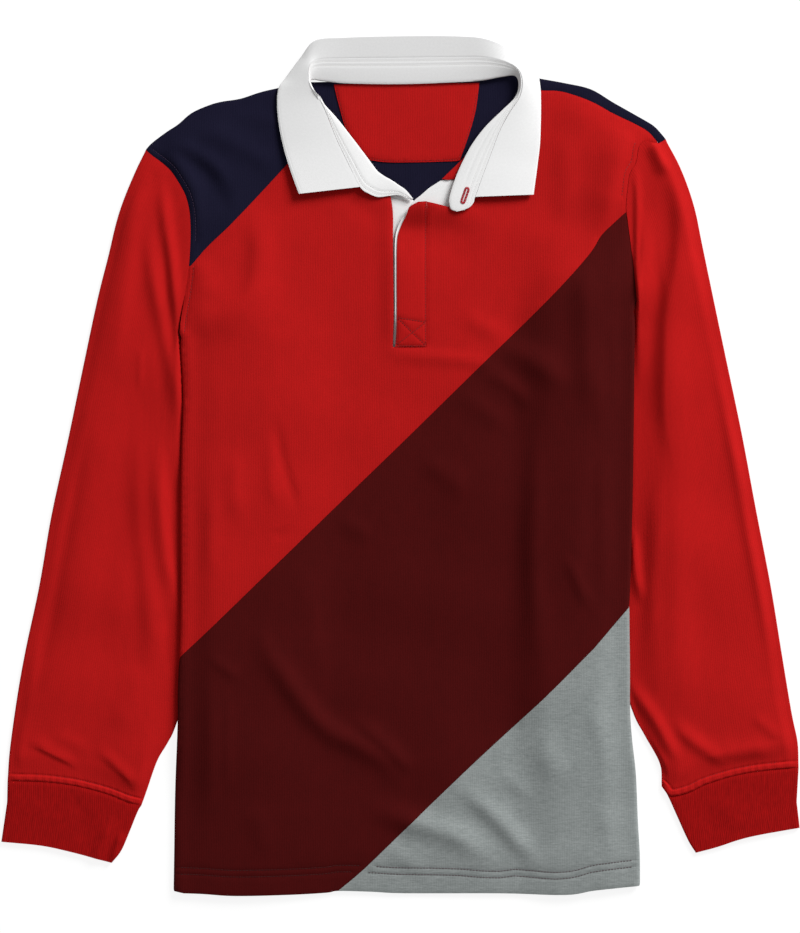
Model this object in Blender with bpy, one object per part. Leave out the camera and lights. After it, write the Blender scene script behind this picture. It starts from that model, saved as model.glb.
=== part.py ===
"""A long-sleeved, colour-blocked polo shirt laid flat on a table, built from its cut pieces.

The wearer's front faces up (+Z), the hem points to -Y and the collar to +Y. "Left" and "right" are as seen
from above. Tables and sizes are in millimetres and become metres when a mesh is made.

The body is a front laid on a back. Both turn under along the two visible sides, front outside back, so a
side stacks up as sleeve, front return, back return, back, front. A body panel is drawn in pattern space
(p, y): p is x on the flat part, then BEND_SPAN of p is the half turn round the side, then p runs along the
return underneath. Each panel is triangulated in pattern space and then lifted into place.
"""

import math

import bpy
import numpy as np
from mathutils import Vector
from mathutils.geometry import delaunay_2d_cdt

MM = 0.001

# Cloth
JERSEY = 1.2  # body and sleeve wall
SEAM = 0.4  # gap between two pieces sewn edge to edge
LAY = 0.4  # gap between two layers that lie on each other
BAND = 1.0  # the thin neck patch, placket facing and under band
TWILL = 1.5  # collar wall
RIB = 1.5  # cuff wall

# Levels of the turned-under sides
SLEEVE_STACK = 2 * JERSEY + 2 * LAY  # a flat sleeve and the gap over it: 3.2
FRONT_BEND = 2.6  # mid radius of the front's half turn
BACK_BEND = 1.0  # mid radius of the back's half turn, nested inside the front's
BEND_OUTER = FRONT_BEND + JERSEY / 2  # 3.2, outer radius of a side
BEND_SPAN = 30.0  # length of p given to a half turn
BEND_STEPS = 5
RETURN_FRONT = 75.0  # how far the front runs back under a side
RETURN_BACK = 72.0
SIDE_FLAT = 80.0  # width over which the stacked layers keep the panels level
SIDE_FALL = 140.0  # the panels have come down to the table this far in from a side
FRONT_GRID = 25.0
BACK_GRID = 34.0

# Visible side edges of the body. Columns: y, x. Above the fold they pass outside the armhole.
LEFT_SIDE = [
    (-416, -219.8), (-377, -219.2), (-315, -218.2), (-253, -215.8), (-212, -215.3), (-149, -212.8),
    (-37, -212.8), (22, -211.8), (66, -210.5), (121, -213.6), (131, -217.5), (160, -224), (320, -252),
]
RIGHT_SIDE = [
    (-416, 232.8), (-379, 232.8), (-345, 230.9), (-299, 228.9), (-264, 225), (-234, 223.1), (-195, 223.1),
    (-138, 222.6), (-96, 224.1), (-17, 226), (62, 227), (131, 227.9), (158, 229.2), (168, 233.5), (320, 268),
]
# Armholes on the front, from the shoulder tip down to the fold, then hidden to the underarm. Columns: x, y.
LEFT_ARMHOLE = [
    (-245.9, 306), (-239.6, 300.7), (-230.4, 293.9), (-222.1, 286.1), (-214.4, 274.5), (-208.5, 263.8),
    (-204.7, 250.3), (-203.3, 236), (-203.3, 218), (-204.7, 194), (-208, 168), (-211.5, 148), (-213.9, 130),
    (-209, 114), (-190, 91), (-166, 74), (-139, 64),
]
RIGHT_ARMHOLE = [
    (251, 313), (244, 314), (237, 315.6), (232, 309.6), (229, 294), (223.3, 284), (221, 268.7),
    (219.4, 250.7), (221, 236.7), (224.1, 212.4), (227, 188.2), (229, 166), (229.6, 157),
    (224, 132), (205, 104), (182, 80), (154, 64),
]
ARMHOLE_VISIBLE = 13  # rows of each table above that show
# Hidden part of an armhole in pattern space, from the fold to the underarm. Columns: past the bend's start, y.
LEFT_UNDERARM = [(3, 124), (15, 117), (32, 106), (52, 88), (76, 72), (105, 64)]
RIGHT_UNDERARM = [(4, 150), (15, 141), (32, 126), (52, 100), (76, 78), (105, 64)]
# Shoulder edges, from the armhole to the neck. Columns: x, y.
LEFT_SHOULDER = [
    (-246.4, 307.5), (-240.6, 313.7), (-227, 324), (-215.3, 331.7), (-202.7, 342.4), (-187.2, 349.6),
    (-173.6, 353.6), (-155.2, 356.5), (-135.8, 362.8), (-119.3, 366.7), (-93, 372.5),
]
RIGHT_SHOULDER = [
    (258, 317.2), (253.2, 323), (245.4, 330.8), (228.9, 340.5), (206.6, 353.1), (185.3, 365.7),
    (161, 371.5), (133.9, 376.4), (118, 379.5),
]
STRIP_LOWER = [  # where the shoulder strip meets the chest. Columns: x, y.
    (119.5, 367), (136.8, 364.7), (155.2, 363.8), (172.7, 358.9), (189.2, 352.1), (206.6, 342.4),
    (228.9, 331.7), (241.5, 324), (251, 313),
]
HEM = [  # Columns: x, y.
    (-214, -414.4), (-191.1, -415.2), (-160, -417.1), (-108.6, -416.1), (-71.8, -414.2), (-60.1, -412.4),
    (-28.1, -413.2), (4.8, -414.7), (96, -414.7), (160.5, -416.1), (188.2, -411.9), (226, -408),
]
HEM_GREY = 5  # row of HEM where the corner panel begins
HEM_TURNED = (-412.0, -407.0)  # y of the hem on the left and right returns
# Seams between the colour blocks. Columns: x, y.
SHOULDER_SEAM = [
    (-204.7, 194), (-201.8, 195.5), (-187.2, 212.4), (-165.9, 232.8), (-145.5, 254.1), (-121.2, 280.3),
    (-109.6, 292.9), (-85, 318), (-65, 341),
]
CHEST_SEAM = [
    (219.4, 246.4), (206.6, 234.7), (195, 223.1), (182.4, 203.7), (143.6, 161), (72, 91), (0, 20.4),
    (-78, -55), (-155.2, -130), (-187.2, -161), (-211, -182),
]
CORNER_SEAM = [
    (-60.1, -412.4), (-36.9, -392.8), (-9.7, -366.7), (27.2, -330.8), (72.8, -287.1), (137.7, -227),
    (188.2, -176.5), (219, -141),
]
# Neckline of the front, tucked just under the collar band. Columns: x, y.
LEFT_NECK = [(-93, 372.5), (-84, 357), (-73, 347.5), (-65, 341)]
LEFT_NECK_CHEST = [(-65, 341), (-53, 327), (-42, 312.5), (-33, 300), (-26, 288), (-18, 274), (-9.7, 264.5)]
SLOT_LEFT = [(-9.7, 264.5), (-6.8, 245.4), (-6.8, 213.4), (-6.2, 151.3), (-7, 115.6)]
SLOT_RIGHT = 26.0
RIGHT_NECK = [
    (26, 256.5), (35.9, 254.3), (46.6, 251.4), (56, 257), (58, 270), (53, 277.8), (40.7, 278.6),
    (61.1, 298.4), (72, 311), (86, 326), (101, 341.5), (113.5, 354), (119.5, 367),
]
BACK_NECK = [(118, 379.5), (94, 379), (76.6, 375.2), (46.6, 374), (7.8, 372.3), (-30, 372.3), (-64, 373.2),
             (-93, 372.5)]
PATCH = [
    (-64, 370.4), (77, 372), (73.7, 346.3), (67.4, 323), (58.2, 296.8), (46.6, 295.8), (17.5, 294.9),
    (-11.6, 294.9), (-28.1, 296.8), (-36, 301), (-51.4, 324.9), (-59.2, 350.2),
]
# Placket bands. Columns: x, y.
OVERLAP = [
    (9.3, 251.2), (6, 243), (1.2, 233), (-2.6, 220), (-3.2, 188), (-3.2, 143.6), (-4.8, 116), (25.6, 116),
    (25.6, 256.6), (17.5, 256.1),
]
FACING = [
    (13.6, 257.3), (6.8, 247.3), (-1, 234.7), (-4.4, 220.2), (-4.8, 188.2), (-4.8, 143.6), (-6.4, 118),
    (8, 118), (12, 220), (20, 235), (30, 246), (54, 246), (58, 262), (55, 277), (47.5, 277.9), (39.8, 277.2),
    (33.9, 273.5), (28.1, 269.7), (20.4, 262.9),
]
UNDERLAP = [(-14, 266), (-14, 110), (20, 110), (20, 252), (11, 259.5), (0, 265)]
# Levels of the thin bands, from the table up
UNDERLAP_BOTTOM = JERSEY + 0.3
FACING_BOTTOM = UNDERLAP_BOTTOM + BAND + 0.3
OVERLAP_RAISE = 0.5  # the overlap's outer face over the chest's

# Largest soft folds. Columns: start x, start y, end x, end y, half width, height.
FRONT_FOLDS = [
    (-128, -160, -92, -232, 20, 2.6),
    (-92, -232, -8, -288, 22, 2.8),
    (-8, -288, 50, -352, 20, 1.8),
    (-196, 224, -150, 330, 20, 1.8),
    (-184, 120, -120, 190, 20, 1.6),
    (-190, 20, -160, -96, 18, 1.4),
    (205, 262, 150, 160, 18, 1.6),
    (196, 40, 190, -120, 20, 1.6),
    (196, -250, 120, -370, 20, 1.8),
    (96, -340, 150, -398, 16, 1.5),
    (-150, -300, -120, -390, 20, 1.2),
]
SLEEVE_FOLDS = [
    (-233, 282, -226, 246, 8, 2.6),
    (-226, 246, -219.5, 160, 7, 2.8),
    (-252, 250, -285, 90, 16, 2.6),
    (-240, 120, -256, -100, 12, 2.4),
    (-300, 60, -330, -140, 18, 2.2),
    (-262, -60, -290, -230, 14, 2.2),
    (-330, -170, -352, -276, 16, 2.0),
    (-350, -276, -318, -296, 9, 1.4),
    (-296, -284, -262, -312, 8, 1.6),
    (235, 282, 233.5, 188, 7, 2.6),
    (268, 260, 300, 60, 16, 2.6),
    (262, 150, 268, -60, 11, 2.4),
    (318, 80, 352, -130, 16, 2.2),
    (240, -60, 262, -220, 14, 2.2),
    (300, -60, 330, -230, 16, 2.4),
    (352, -200, 352, -282, 14, 1.8),
    (300, -250, 276, -300, 9, 1.6),
]
SLEEVE_PUFF = 1.6  # how much a sleeve's middle stands over a flat one

# Sleeves outside the armhole. Columns: x, y, from the shoulder or underarm down to the cuff.
LEFT_SLEEVE_OUTER = [
    (-246.6, 306.8), (-256.1, 287.6), (-267.7, 260), (-275.5, 236.2), (-283.2, 203.7), (-293.9, 161),
    (-308.5, 92.1), (-323, 22.3), (-338.5, -48.5), (-350.2, -116.4), (-363.3, -177.5), (-371.5, -223.1),
    (-378.7, -274.5), (-381, -305.4),
]
LEFT_SLEEVE_INNER = [(-139, 64), (-160, -40), (-186, -160), (-216.3, -248.3), (-225, -267.7), (-235.7, -286.1),
                     (-245.9, -315.2), (-251, -329.4)]
RIGHT_SLEEVE_OUTER = [
    (258, 316.4), (270.6, 292.9), (280.3, 268.7), (287.1, 245.9), (292.9, 217.3), (304.6, 161), (316.2, 105.7),
    (331.7, 32), (345.3, -40.7), (359.9, -116.4), (370.5, -181.4), (380.2, -239.6), (386, -268), (387, -292.5),
]
RIGHT_SLEEVE_INNER = [(154, 64), (172, -40), (198, -150), (224.1, -233.8), (236.7, -260), (252.2, -288.6),
                      (254, -311)]
LEFT_CUFF_SEAM = [(-381, -305.4), (-347.3, -306.5), (-316.2, -310.4), (-285.2, -318.2), (-264.8, -325.9),
                  (-251, -329.4)]
RIGHT_CUFF_SEAM = [(387, -292.5), (359.9, -294.9), (328.8, -299.7), (297.8, -308.5), (281.3, -316.2),
                   (262.9, -320.1), (254, -311)]
LEFT_CUFF_END = [(-387, -364.7), (-347.3, -368.6), (-316.2, -375.4), (-292.9, -381.7), (-279.8, -385.1)]
RIGHT_CUFF_END = [(388, -351.1), (349.2, -357.9), (328.8, -362.8), (308.5, -369.6), (287.1, -375.4)]
LEFT_CUFF_OUTER = [(-380.4, -306.2), (-381.4, -326), (-387, -364.7)]
LEFT_CUFF_INNER = [(-252.6, -331), (-256.6, -340), (-262.4, -354.5), (-270.6, -373.4), (-279.8, -385.1)]
RIGHT_CUFF_OUTER = [(385.4, -293.6), (385.1, -326), (388, -351.1)]
RIGHT_CUFF_INNER = [(256.4, -313), (261.9, -324), (267.7, -337), (279.4, -362.8), (287.1, -375.4)]
SLEEVE_ROWS = 17
CUFF_ROWS = 4
CUFF_HEIGHT = 2 * RIB + 0.6

# Collar, station by station from the left front round the back to the right front. Heights are of the upper
# face over the table. Columns: neck seam x, y, z; band's top edge x, y, z; fall's outer edge x, y, z;
# share of the fall that reaches down to the table; length of its edge turned in under the band. Behind the
# neck the collar rises to a fold along the outline, and the fall goes back underneath as a folded wall.
COLLAR = [
    (-27, 293, 8.2, -38.8, 270.6, 8.6, -98, 263.8, 5.3, 0, 0),
    (-36, 305, 8.2, -49, 291, 10.6, -104, 280, 5.3, 0, 0),
    (-49, 322, 8.0, -61, 316, 12.4, -112, 305, 5.3, 0, 0),
    (-62, 338.5, 7.6, -70, 339, 13.6, -117.4, 330, 5.4, 0, 0),
    (-74, 351.5, 7.0, -77, 354.5, 14.6, -119.3, 352, 5.0, 0, 0),
    (-82.5, 361, 6.4, -84, 366, 15.2, -117.6, 367, 4.8, 0, 0),
    (-86.6, 372, 5.4, -88.4, 378.5, 14.6, -110.6, 377.3, 4.8, 0.2, 0),
    (-84, 374.4, 4.8, -87, 389, 13.6, -97, 395.5, 8.0, 0.8, 4),
    (-74, 373.2, 4.4, -78, 394.4, 12.0, -82, 412.6, 13.4, 1, 12),
    (-50, 371.2, 4.2, -52, 395.4, 11.0, -54, 415.6, 13.8, 1, 15),
    (0, 370.5, 4.2, 0, 396, 10.6, 0, 417.1, 14.0, 1, 15),
    (50, 372.2, 4.2, 52, 396.6, 11.0, 54, 417, 13.8, 1, 15),
    (78, 373.8, 4.4, 81, 396.4, 12.0, 86, 413.6, 13.4, 1, 12),
    (99, 377.4, 4.8, 103, 391.5, 13.4, 113, 400.5, 8.0, 0.8, 4),
    (111.4, 378, 5.4, 114.4, 383.5, 14.2, 131.4, 384.4, 4.8, 0.2, 0),
    (114.6, 369, 6.4, 117.4, 371, 15.0, 136, 369.6, 4.8, 0, 0),
    (111, 357.4, 7.0, 114.4, 356.6, 14.6, 136.8, 350, 5.1, 0, 0),
    (98, 344.3, 7.6, 105.4, 342, 13.6, 136.5, 330, 5.2, 0, 0),
    (82.5, 328.8, 8.0, 96.6, 325, 12.6, 135.8, 312, 5.2, 0, 0),
    (68.6, 310, 8.2, 88.6, 304, 11.2, 133.6, 293, 5.2, 0, 0),
    (56, 285, 8.2, 80.2, 281.5, 9.6, 131.6, 278, 5.3, 0, 0),
    (48.5, 262.9, 8.0, 72.8, 260.9, 8.2, 129.6, 263.2, 5.3, 0, 0),
]
# The band runs past the fall at both fronts. Columns: neck seam x, y, z; top edge x, y, z.
LEFT_BAND_END = [
    (12.6, 259.8, 5.9, 11.4, 258, 5.8),
    (5.8, 267.7, 6.7, 5.4, 260.4, 6.4),
    (-1, 272.5, 7.3, -1.6, 262.8, 7.0),
    (-8.4, 277.4, 7.8, -11.6, 261.9, 7.5),
    (-15.4, 281.4, 8.1, -21.3, 260.9, 7.9),
    (-21.6, 286, 8.2, -30.4, 264.2, 8.2),
]
RIGHT_BAND_END = [
    (48, 254, 7.9, 71.4, 255.4, 7.9),
    (49.6, 248.6, 7.6, 67.4, 250.8, 7.6),
    (54.6, 246.6, 7.4, 62, 248.2, 7.4),
]
STATION_SPLIT = 2  # each stretch between stations is cut into this many
BAND_ACROSS = 5
FALL_ACROSS = 8
FALL_BULGE = 0.16  # how far the fall rounds up between its two edges, as a share of its rise and run
FALL_CLEAR = TWILL + 0.7  # how far the fall's seam stands off a band that is upright
TONGUE_HEIGHT = 1.2
HOLLOW_FROM = (0.3, 0.8)  # the fall's share of COLLAR at which its folded wall starts to open, and is open

RED = (0.42, 0.0106, 0.0116)
DEEP_RED = (0.254, 0.0052, 0.0048)
NAVY = (0.0116, 0.0110, 0.0250)
MAROON = (0.0578, 0.0052, 0.0061)
GREY = (0.244, 0.262, 0.258)
WHITE = (0.82, 0.82, 0.81)


# ---------------------------------------------------------------- curves and levels


def smooth(low, high, value):
    """0 below low, 1 above high and an S curve between."""
    share = np.clip((np.asarray(value, float) - low) / (high - low), 0, 1)
    return share * share * (3 - 2 * share)


def at_y(table, y):
    """x of a (y, x) table at each y."""
    rows = np.array(table, float)
    return np.interp(y, rows[:, 0], rows[:, 1])


def resampled(points, count):
    """count points spaced evenly along a polyline."""
    points = np.array(points, float)
    steps = np.linalg.norm(np.diff(points, axis=0), axis=1)
    length = np.concatenate([[0], np.cumsum(steps)])
    wanted = np.linspace(0, length[-1], count)
    return np.stack([np.interp(wanted, length, points[:, axis]) for axis in range(points.shape[1])], axis=1)


def rounded(points, split):
    """A Catmull-Rom curve through the points, with split steps in each stretch."""
    points = np.array(points, float)
    ends = np.concatenate([[2 * points[0] - points[1]], points, [2 * points[-1] - points[-2]]])
    curve = []
    for a, b, c, d in zip(ends[:-3], ends[1:-2], ends[2:-1], ends[3:]):
        for t in np.arange(split) / split:
            curve.append(
                0.5 * (2 * b + (c - a) * t + (2 * a - 5 * b + 4 * c - d) * t**2 + (3 * b - a - 3 * c + d) * t**3)
            )
    curve.append(points[-1])
    return np.array(curve)


def shifted(points, distance):
    """The polyline moved sideways, to the left of its direction."""
    points = np.array(points, float)
    along = np.gradient(points, axis=0)
    along /= np.linalg.norm(along, axis=1)[:, None]
    return points + distance * np.stack([-along[:, 1], along[:, 0]], axis=1)


def left_bend(y):
    return at_y(LEFT_SIDE, y) + BEND_OUTER


def right_bend(y):
    return at_y(RIGHT_SIDE, y) - BEND_OUTER


def sleeve_under(y):
    """Height that a sleeve lifts the body's side by: none below the place where it comes out."""
    return SLEEVE_STACK * smooth(-330, -266, y)


def bend_centre(y):
    """Height of the axis of a side's half turn."""
    return sleeve_under(y) + BEND_OUTER


def back_bottom(x, y):
    """Underside of the back: on the table in the middle, on the stacked layers at the sides."""
    stacked = bend_centre(y) + LAY
    left = (1 - smooth(130, 225, y)) * (1 - smooth(SIDE_FLAT, SIDE_FALL, x - at_y(LEFT_SIDE, y)))
    right = (1 - smooth(168, 250, y)) * (1 - smooth(SIDE_FLAT, SIDE_FALL, at_y(RIGHT_SIDE, y) - x))
    return stacked * (left + right)


def folds(table, x, y):
    """Sum of soft ridges, each along a straight run with rounded ends."""
    height = np.zeros(np.shape(x))
    for x0, y0, x1, y1, width, rise in table:
        along = np.array([x1 - x0, y1 - y0])
        length = np.linalg.norm(along)
        along = along / length
        run = (x - x0) * along[0] + (y - y0) * along[1]
        side = (y - y0) * along[0] - (x - x0) * along[1]
        past = run - np.clip(run, 0, length)
        height = height + rise * np.exp(-((side / width) ** 2) - (past / width) ** 2)
    return height


def shoulder_y(x):
    edge = np.array(LEFT_SHOULDER + RIGHT_SHOULDER[::-1])
    return np.interp(x, edge[:, 0], edge[:, 1])


def front_top(x, y):
    """Upper face of the front: the back, two walls and a little air, more of it round the placket."""
    inside = np.minimum(x - at_y(LEFT_SIDE, y), at_y(RIGHT_SIDE, y) - x)
    placket = (1 - smooth(40, 105, np.abs(x - 8))) * smooth(52, 100, y)
    air = 0.5 + 2.2 * placket + folds(FRONT_FOLDS, x, y) * (1 - smooth(0, 0.4, placket))
    air = air * smooth(6, 40, inside) * smooth(2, 36, shoulder_y(x) - y)
    return back_bottom(x, y) + 2 * JERSEY + LAY + air


def left_edge(y):
    """Outline of the body where the left sleeve leaves it: the armhole, then the side."""
    visible = [(row[1], row[0]) for row in LEFT_ARMHOLE[:ARMHOLE_VISIBLE]][::-1]
    lower = [row for row in LEFT_SIDE if row[0] < 121]
    return at_y(lower + visible, y)


def right_edge(y):
    visible = sorted((row[1], row[0]) for row in RIGHT_ARMHOLE[2:ARMHOLE_VISIBLE])
    lower = [row for row in RIGHT_SIDE if row[0] < 150]
    return at_y(lower + visible + [(316.4, 258)], y)


# ---------------------------------------------------------------- meshes


def add_object(name, points, faces, colour, roughness=0.85):
    mesh = bpy.data.meshes.new(name)
    mesh.from_pydata([tuple(p) for p in np.asarray(points) * MM], [], [tuple(map(int, f)) for f in faces])
    mesh.validate()
    material = bpy.data.materials.new(name)
    material.use_nodes = True
    shader = material.node_tree.nodes["Principled BSDF"]
    shader.inputs["Base Color"].default_value = (*colour, 1)
    shader.inputs["Roughness"].default_value = roughness
    shader.inputs["Metallic"].default_value = 0
    mesh.materials.append(material)
    mesh.shade_smooth()
    mesh.set_sharp_from_angle(angle=math.radians(50))
    made = bpy.data.objects.new(name, mesh)
    bpy.context.scene.collection.objects.link(made)
    return made


def inside_outline(points, outline):
    """Even-odd test of each point against a closed polyline."""
    a, b = outline, np.roll(outline, -1, axis=0)
    x, y = points[:, :1], points[:, 1:]
    crosses = (a[:, 1] > y) != (b[:, 1] > y)
    rise = np.where(a[:, 1] == b[:, 1], 1, b[:, 1] - a[:, 1])
    at = a[:, 0] + (y - a[:, 1]) * (b[:, 0] - a[:, 0]) / rise
    return (crosses & (x < at)).sum(axis=1) % 2 == 1


def distance_to_outline(points, outline):
    a, b = outline[None], np.roll(outline, -1, axis=0)[None]
    along = b - a
    share = ((points[:, None] - a) * along).sum(axis=2) / np.maximum((along**2).sum(axis=2), 1e-9)
    nearest = a + np.clip(share, 0, 1)[..., None] * along
    return np.linalg.norm(points[:, None] - nearest, axis=2).min(axis=1)


def divided(outline, longest):
    """The closed outline with no side longer than the given length."""
    outline = np.array(outline, float)
    parts = []
    for a, b in zip(outline, np.roll(outline, -1, axis=0)):
        count = max(1, math.ceil(np.linalg.norm(b - a) / longest))
        parts.append(a + (b - a) * (np.arange(count) / count)[:, None])
    return np.concatenate(parts)


def panel_points(grid):
    """Inner points of a body panel in pattern space: a grid, and close columns round each half turn."""
    points = []
    for y in np.arange(-400, 380, grid):
        left, right = float(left_bend(y)), float(right_bend(y))
        flat = np.arange(-8 * grid, 9.5 * grid, grid)
        flat = flat[(flat > left + grid / 3) & (flat < right - grid / 3)]
        bend = np.arange(BEND_STEPS + 1) * BEND_SPAN / BEND_STEPS
        back = BEND_SPAN + np.array([25, 50])
        for p in (*flat, *(left - bend), *(left - back), *(right + bend), *(right + back)):
            points.append((p, y))
    return np.array(points)


def wall(name, outline, inner, lift, colour, clear=2.4):
    """A closed wall over a pattern outline. lift gives the outer and inner face of any pattern point."""
    outline = np.array(outline, float)
    inner = inner[inside_outline(inner, outline)] if len(inner) else inner
    if len(inner):
        inner = inner[distance_to_outline(inner, outline) > clear]
    points = np.concatenate([outline, inner]) if len(inner) else outline
    ring = [(i, (i + 1) % len(outline)) for i in range(len(outline))]
    found = delaunay_2d_cdt([Vector(p) for p in points], ring, [], 1, 1e-6)
    pattern = np.array([tuple(p) for p in found[0]])
    corners = np.array([list(f) for f in found[2]])
    a, b, c = (pattern[corners[:, i]] for i in range(3))
    area = (b[:, 0] - a[:, 0]) * (c[:, 1] - a[:, 1]) - (b[:, 1] - a[:, 1]) * (c[:, 0] - a[:, 0])
    corners[area < 0] = corners[area < 0][:, ::-1]
    outer, under = lift(pattern[:, 0], pattern[:, 1])
    count = len(pattern)
    edges = {(int(f[i]), int(f[(i + 1) % 3])) for f in corners for i in range(3)}
    rim = [(b, a, a + count, b + count) for a, b in sorted(edges) if (b, a) not in edges]
    faces = [tuple(f) for f in corners] + [tuple(f[::-1] + count) for f in corners] + rim
    return add_object(name, np.concatenate([outer, under]), faces, colour)


def body_lift(top, radius):
    """Lift for a body panel whose upper face is top(x, y) and whose half turn has this mid radius."""

    def lift(p, y):
        left, right = left_bend(y), right_bend(y)
        past = np.maximum(left - p, p - right)
        side = np.where(p < (left + right) / 2, -1.0, 1.0)
        start = np.where(side < 0, left, right)
        turn = math.pi * np.clip(past / BEND_SPAN, 0, 1)
        centre = bend_centre(y)
        run = np.maximum(past - BEND_SPAN, 0)
        faces = []
        for offset in (JERSEY / 2, -JERSEY / 2):
            r = radius + offset
            x = np.where(past <= 0, p, start + side * (r * np.sin(turn) - run))
            flat = top(p, y) - (JERSEY / 2 - offset)
            z = np.where(past <= 0, flat, centre + r * np.cos(turn))
            faces.append(np.stack([x, y, z], axis=1))
        return faces

    return lift


def sheet_lift(bottom, thickness):
    """Lift for a small flat band at a fixed or worked-out height."""

    def lift(p, y):
        z = bottom(p, y)
        return [np.stack([p, y, z + thickness], axis=1), np.stack([p, y, z], axis=1)]

    return lift


def loft(name, rings, colour):
    """A solid through closed rings of equal count, with its two ends filled."""
    rings = np.asarray(rings)
    rows, count = rings.shape[:2]
    index = np.arange(rows * count).reshape(rows, count)
    faces = []
    for i in range(rows - 1):
        for j in range(count):
            k = (j + 1) % count
            faces.append((index[i, j], index[i, k], index[i + 1, k], index[i + 1, j]))
    faces += [tuple(index[0][::-1]), tuple(index[-1])]
    return outward(add_object(name, rings.reshape(-1, 3), faces, colour))


def tube(name, outer, inner, colour):
    """An open-ended wall between two sets of closed rings."""
    rows, count = outer.shape[:2]
    index = np.arange(2 * rows * count).reshape(2, rows, count)
    faces = []
    for j in range(count):
        k = (j + 1) % count
        for i in range(rows - 1):
            faces.append((index[0, i, j], index[0, i, k], index[0, i + 1, k], index[0, i + 1, j]))
            faces.append((index[1, i, k], index[1, i, j], index[1, i + 1, j], index[1, i + 1, k]))
        faces.append((index[1, 0, j], index[1, 0, k], index[0, 0, k], index[0, 0, j]))
        faces.append((index[0, -1, j], index[0, -1, k], index[1, -1, k], index[1, -1, j]))
    return outward(add_object(name, np.concatenate([outer, inner]).reshape(-1, 3), faces, colour))


def outward(made):
    """Turns the object's faces round if they enclose a negative volume."""
    mesh = made.data
    points = np.array([v.co for v in mesh.vertices])
    mesh.calc_loop_triangles()
    corners = np.array([t.vertices for t in mesh.loop_triangles])
    if np.linalg.det(points[corners]).sum() < 0:
        mesh.flip_normals()
    return made


# ---------------------------------------------------------------- body


def left_fold_points(y_from, y_to, length, steps=6):
    """Pattern points down the left side seam."""
    ys = np.linspace(y_from, y_to, steps)
    return np.stack([left_bend(ys) - BEND_SPAN - length, ys], axis=1)


def right_fold_points(y_from, y_to, length, steps=6):
    ys = np.linspace(y_from, y_to, steps)
    return np.stack([right_bend(ys) + BEND_SPAN + length, ys], axis=1)


def underarm(table, side, length):
    """Hidden stretch of an armhole in pattern space, cut off at the return's length."""
    points = []
    for past, y in table:
        bend = left_bend(y) if side < 0 else right_bend(y)
        points.append((bend + side * min(past, BEND_SPAN + length), y))
    return points


def turned_seam(start, side, y_top, y_under, y_end):
    """A seam's way round a side: down the half turn in even steps, then along the return."""
    turn = np.linspace(0, BEND_SPAN, BEND_STEPS + 1)
    points = [(start + side * past, y_top + (y_under - y_top) * past / BEND_SPAN) for past in turn]
    middle, end = BEND_SPAN + RETURN_FRONT / 2, BEND_SPAN + RETURN_FRONT
    return points + [(start + side * middle, (y_under + y_end) / 2), (start + side * end, y_end)]


def chest_seam():
    """Chest seam from the right armhole to the left side seam."""
    start = float(left_bend(-183))
    return np.array(CHEST_SEAM[:-1] + turned_seam(start, -1, -183, -191, -258))


def corner_seam():
    """Corner seam from the hem to the right side seam."""
    start = float(right_bend(-140))
    return np.array(CORNER_SEAM[:-1] + turned_seam(start, 1, -140, -132, -63))


def armhole_points(table):
    """Points shared by the armhole edge of the front and of its sleeve."""
    return np.array(table[:ARMHOLE_VISIBLE], float)


def build_front():
    inner = panel_points(FRONT_GRID)
    lift = body_lift(front_top, FRONT_BEND)
    left_arm, right_arm = armhole_points(LEFT_ARMHOLE), armhole_points(RIGHT_ARMHOLE)
    left_under = underarm(LEFT_UNDERARM, -1, RETURN_FRONT)
    right_under = underarm(RIGHT_UNDERARM, 1, RETURN_FRONT)
    split_left = 10  # the shoulder seam meets the left armhole after this many rows
    split_right = 8  # and the chest seam the right one

    seam = np.array(SHOULDER_SEAM)
    shoulder = np.concatenate([seam, LEFT_NECK[::-1][1:], LEFT_SHOULDER[::-1][1:], left_arm[:split_left - 1]])
    wall("front_shoulder_panel", divided(shoulder, FRONT_GRID), inner, lift, NAVY)

    low_seam = shifted(seam, -SEAM)
    chest_low = chest_seam()
    chest = np.concatenate([
        low_seam[::-1], left_arm[split_left:], left_under, left_fold_points(40, -258 + SEAM, RETURN_FRONT),
        chest_low[::-1][1:],
        right_arm[:split_right][::-1], shifted(STRIP_LOWER, -SEAM)[::-1][1:-1],
        RIGHT_NECK[::-1], [(SLOT_RIGHT, 115.6)], SLOT_LEFT[::-1], LEFT_NECK_CHEST[::-1][1:-1],
    ])
    wall("front_chest_panel", divided(chest, FRONT_GRID), inner, lift, RED)

    middle = np.concatenate([
        shifted(chest_low, SEAM), left_fold_points(-280, HEM_TURNED[0], RETURN_FRONT, 4),
        [(float(left_bend(-412)) - BEND_SPAN, HEM_TURNED[0]), (float(left_bend(-412)), -413)],
        HEM[:HEM_GREY + 1], corner_seam()[1:],
        right_fold_points(-40, 64, RETURN_FRONT, 3)[:-1], right_under[::-1], right_arm[split_right:][::-1],
    ])
    wall("front_middle_panel", divided(middle, FRONT_GRID), inner, lift, MAROON)

    corner = np.concatenate([
        shifted(corner_seam(), -SEAM)[::-1], HEM[HEM_GREY + 1:],
        [(float(right_bend(-407)), HEM_TURNED[1] - 0.6), (float(right_bend(-407)) + BEND_SPAN, HEM_TURNED[1])],
        right_fold_points(HEM_TURNED[1], -80, RETURN_FRONT),
    ])
    wall("front_corner_panel", divided(corner, FRONT_GRID), inner, lift, GREY)

    strip = np.concatenate([STRIP_LOWER, RIGHT_SHOULDER])
    wall("shoulder_strip", divided(strip, FRONT_GRID), inner, lift, NAVY)


def back_top(x, y):
    return back_bottom(x, y) + JERSEY


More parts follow.
